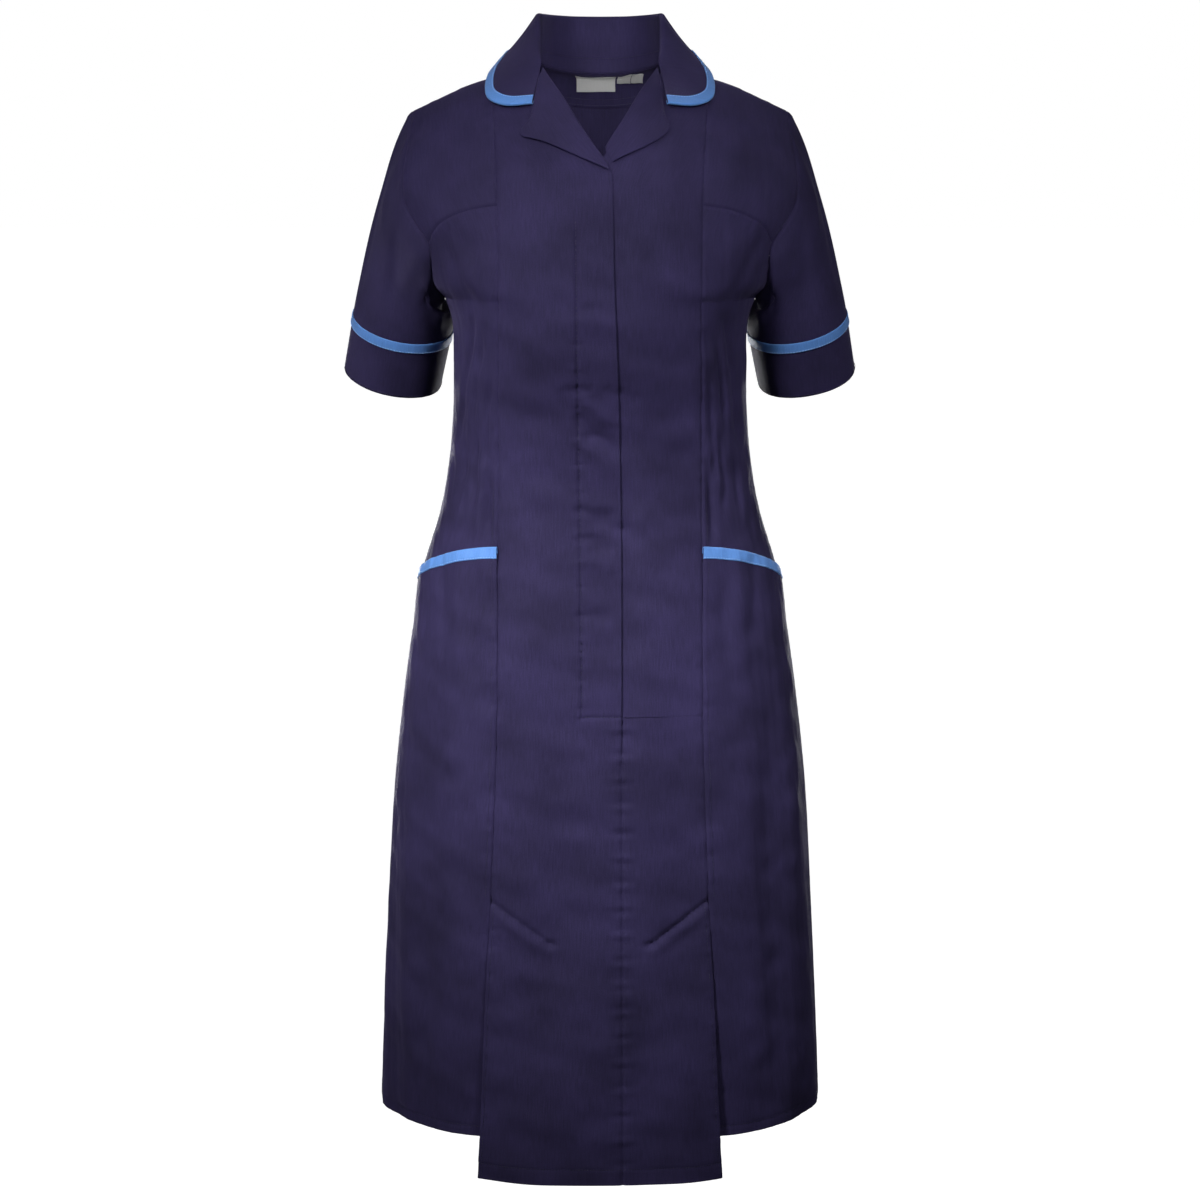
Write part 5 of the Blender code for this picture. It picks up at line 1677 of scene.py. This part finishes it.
# ---- stage ----------------------------------------------------------------------------
# name, place, aim, width and height, watts, spread in degrees
LAMPS = (
    ("front_right", (-1.00, -1.55, 0.75), (0.0, 0.0, -0.63), (0.4, 0.4), 2.20, 30.0),
    ("front_left", (0.90, -1.60, 0.75), (0.0, 0.0, -0.63), (0.4, 0.4), 1.00, 30.0),
    ("neck_light", (0.0, -2.20, 0.40), (0.0, 0.0, 0.025), (0.25, 0.25), 0.30, 13.0),
    ("side_right", (-2.0, -0.35, 0.10), (0.0, 0.0, -0.50), (0.5, 0.5), 0.15, 34.0),
    ("side_left", (2.0, -0.35, 0.10), (0.0, 0.0, -0.50), (0.5, 0.5), 0.15, 34.0),
    ("back_right", (-0.75, 2.05, -0.85), (0.0, 0.0, -0.48), (0.5, 0.5), 1.9, 40.0),
    ("back_left", (0.75, 2.05, -0.85), (0.0, 0.0, -0.48), (0.5, 0.5), 1.2, 40.0),
)


def soft_box(name, place, aim, size, watts, spread):
    """A soft area light, aimed at a point."""
    bpy.ops.object.light_add(type="AREA", location=place)
    lamp = bpy.context.object
    lamp.name = name
    lamp.data.shape, lamp.data.size, lamp.data.size_y = "RECTANGLE", size[0], size[1]
    lamp.data.energy, lamp.data.spread = watts, radians(spread)
    lamp.rotation_euler = (Vector(aim) - Vector(place)).to_track_quat("-Z", "Y").to_euler()


def make_stage():
    """The floor, the pale surround, the lamps and the camera."""
    bpy.ops.object.select_all(action="DESELECT")
    bpy.ops.mesh.primitive_plane_add(size=60.0, location=(0.0, 0.0, -1.45))
    floor = bpy.context.object
    floor.name = "studio_floor"
    floor.visible_diffuse = floor.visible_glossy = False
    pale, shader = new_material("studio floor", (0.40, 0.40, 0.40), 0.9, 0.0)
    shader.inputs["Emission Color"].default_value = (1.0, 1.0, 1.0, 1.0)
    shader.inputs["Emission Strength"].default_value = 0.985
    floor.data.materials.append(pale)

    world = bpy.data.worlds.new("studio")
    world.use_nodes = True
    nodes, links = world.node_tree.nodes, world.node_tree.links
    seen = nodes["Background"]
    seen.inputs["Color"].default_value = (1.0, 1.0, 1.0, 1.0)
    seen.inputs["Strength"].default_value = 1.0
    soft = nodes.new("ShaderNodeBackground")
    soft.inputs["Color"].default_value = (1.0, 1.0, 1.0, 1.0)
    place, split = nodes.new("ShaderNodeTexCoord"), nodes.new("ShaderNodeSeparateXYZ")
    fall = nodes.new("ShaderNodeMapRange")
    for socket, value in zip(list(fall.inputs)[1:5], (-0.5, 0.9, 0.03, 0.13)):
        socket.default_value = value
    links.new(place.outputs["Generated"], split.inputs["Vector"])
    links.new(split.outputs["Z"], fall.inputs["Value"])
    links.new(fall.outputs["Result"], soft.inputs["Strength"])
    path, both = nodes.new("ShaderNodeLightPath"), nodes.new("ShaderNodeMixShader")
    links.new(path.outputs["Is Camera Ray"], both.inputs["Fac"])
    links.new(soft.outputs["Background"], both.inputs[1])
    links.new(seen.outputs["Background"], both.inputs[2])
    links.new(both.outputs["Shader"], nodes["World Output"].inputs["Surface"])
    scene = bpy.context.scene
    scene.world = world
    scene.view_settings.view_transform = "Standard"

    for lamp in LAMPS:
        soft_box(*lamp)

    bpy.ops.object.camera_add(location=(0.0, -2.6, -0.05),
                              rotation=(radians(90.0 - 10.46), 0.0, 0.0))
    camera = bpy.context.object
    camera.data.lens, camera.data.sensor_width = 79.32, 36.0
    scene.camera = camera


# ---- add-on ---------------------------------------------------------------------------
class NurseDressSettings(bpy.types.PropertyGroup):
    cloth_thickness: FloatProperty(
        name="Cloth thickness", description="Wall of one worn layer", default=0.0015,
        min=0.0005, max=0.003, unit="LENGTH")
    crease_depth: FloatProperty(
        name="Crease depth", description="How strong the soft creases are", default=1.6,
        min=0.0, max=2.0, subtype="FACTOR")
    stitch_length: FloatProperty(
        name="Stitch length", description="Pitch of the sewn rows", default=0.0029,
        min=0.001, max=0.006, unit="LENGTH")
    cloth_color: FloatVectorProperty(
        name="Cloth", description="Colour of the twill", subtype="COLOR",
        default=(0.0215, 0.0168, 0.0545), min=0.0, max=1.0)
    # painted shade: the thread is set darker than the cloth, standing for the shade in the stitched
    # dents
    thread_color_with_dent_shade: FloatVectorProperty(
        name="Thread", description="Colour of the sewing thread", subtype="COLOR",
        default=(0.0120, 0.0100, 0.0360), min=0.0, max=1.0)
    binding_color: FloatVectorProperty(
        name="Binding", description="Colour of the bindings", subtype="COLOR",
        default=(0.082, 0.212, 0.530), min=0.0, max=1.0)
    label_color: FloatVectorProperty(
        name="Label", description="Colour of the bare labels", subtype="COLOR",
        default=(0.42, 0.42, 0.42), min=0.0, max=1.0)


class DRESS_OT_fronts(bpy.types.Operator):
    """Build both fronts"""
    bl_idname = "dress.fronts"
    bl_label = "Fronts"

    def execute(self, context):
        make_fronts()
        return {"FINISHED"}


class DRESS_OT_yokes(bpy.types.Operator):
    """Build the front yokes"""
    bl_idname = "dress.yokes"
    bl_label = "Yokes"

    def execute(self, context):
        for side, word in SIDES:
            make_yoke(side, word)
        return {"FINISHED"}


class DRESS_OT_side_fronts(bpy.types.Operator):
    """Build the side fronts down to the pocket mouths"""
    bl_idname = "dress.side_fronts"
    bl_label = "Side fronts"

    def execute(self, context):
        for side, word in SIDES:
            make_side_front(side, word)
        return {"FINISHED"}


class DRESS_OT_pockets(bpy.types.Operator):
    """Build the lower side fronts, pockets and their bindings"""
    bl_idname = "dress.pockets"
    bl_label = "Lower sides and pockets"

    def execute(self, context):
        for side, word in SIDES:
            make_side_skirt(side, word)
            make_pocket(side, word)
            make_pocket_trim(side, word)
        return {"FINISHED"}


class DRESS_OT_pleats(bpy.types.Operator):
    """Build the layers of the kick pleats"""
    bl_idname = "dress.pleats"
    bl_label = "Kick pleats"

    def execute(self, context):
        for side, word in SIDES:
            make_pleat(side, word)
        return {"FINISHED"}


class DRESS_OT_back(bpy.types.Operator):
    """Build the centre back and side backs"""
    bl_idname = "dress.back"
    bl_label = "Back"

    def execute(self, context):
        make_back_centre()
        for side, word in SIDES:
            make_side_back(side, word)
        return {"FINISHED"}


class DRESS_OT_sleeves(bpy.types.Operator):
    """Build the sleeves, cuffs and cuff bindings"""
    bl_idname = "dress.sleeves"
    bl_label = "Sleeves and cuffs"

    def execute(self, context):
        for side, word in SIDES:
            make_sleeve(side, word)
            make_cuff(side, word)
        return {"FINISHED"}


class DRESS_OT_collar(bpy.types.Operator):
    """Build the bound collar"""
    bl_idname = "dress.collar"
    bl_label = "Collar"

    def execute(self, context):
        make_collar()
        return {"FINISHED"}


class DRESS_OT_lapels(bpy.types.Operator):
    """Build the lapels, turned out along their roll lines"""
    bl_idname = "dress.lapels"
    bl_label = "Lapels"

    def execute(self, context):
        make_lapel(-1.0, "right", RIGHT_LAPEL)
        make_lapel(1.0, "left", LEFT_LAPEL)
        return {"FINISHED"}


class DRESS_OT_neck(bpy.types.Operator):
    """Build the back neck facing and the bare labels"""
    bl_idname = "dress.neck"
    bl_label = "Neck facing and labels"

    def execute(self, context):
        make_facing()
        make_label_piece("label_neck", (-0.0240, 0.0155), (-0.0285, -0.0085), "neck_label")
        make_label_piece("label_size_1", (0.0174, 0.0310), (-0.0195, -0.0085), "size_label_1")
        make_label_piece("label_size_2", (0.0316, 0.0435), (-0.0190, -0.0085), "size_label_2")
        return {"FINISHED"}


class DRESS_OT_stitching(bpy.types.Operator):
    """Sew the stitched rows"""
    bl_idname = "dress.stitching"
    bl_label = "Stitching"

    def execute(self, context):
        navy, pale = finish_of("navy thread with painted shade"), finish_of("pale blue thread")
        sew("stitches_front", sewn_front(), navy)
        sew("stitches_sides", sewn_sides(), navy)
        sew("stitches_back", sewn_back(), navy)
        sew("stitches_cuffs", sewn_cuffs(), navy)
        sew("stitches_collar", sewn_collar(), navy)
        sew("stitches_bindings", sewn_bindings(), pale)
        return {"FINISHED"}


class DRESS_OT_cuts(bpy.types.Operator):
    """A step that does nothing"""
    bl_idname = "dress.cuts"
    bl_label = "Cut sizes"

    def execute(self, context):
        return {"FINISHED"}


class DRESS_OT_stage(bpy.types.Operator):
    """Set the pale floor, the soft light and the camera"""
    bl_idname = "dress.stage"
    bl_label = "Stage"

    def execute(self, context):
        make_stage()
        return {"FINISHED"}


STEPS = (DRESS_OT_fronts, DRESS_OT_yokes, DRESS_OT_side_fronts, DRESS_OT_pockets,
         DRESS_OT_pleats, DRESS_OT_back, DRESS_OT_sleeves, DRESS_OT_collar, DRESS_OT_lapels,
         DRESS_OT_neck, DRESS_OT_stitching, DRESS_OT_cuts, DRESS_OT_stage)


class DRESS_PT_panel(bpy.types.Panel):
    """Sizes, colours and steps of the dress"""
    bl_idname = "DRESS_PT_panel"
    bl_label = "Nurse uniform dress"
    bl_space_type = "VIEW_3D"
    bl_region_type = "UI"
    bl_category = "Dress"

    def draw(self, context):
        for name in NurseDressSettings.__annotations__:
            self.layout.prop(context.scene.nurse_dress, name)
        for step in STEPS:
            self.layout.operator(step.bl_idname)


def register():
    for item in (NurseDressSettings, *STEPS, DRESS_PT_panel):
        bpy.utils.register_class(item)
    bpy.types.Scene.nurse_dress = PointerProperty(type=NurseDressSettings)


def unregister():
    del bpy.types.Scene.nurse_dress
    for item in reversed((NurseDressSettings, *STEPS, DRESS_PT_panel)):
        bpy.utils.unregister_class(item)


def main():
    register()
    for step in STEPS:
        group, name = step.bl_idname.split(".")
        getattr(getattr(bpy.ops, group), name)()


if __name__ == "__main__":
    main()
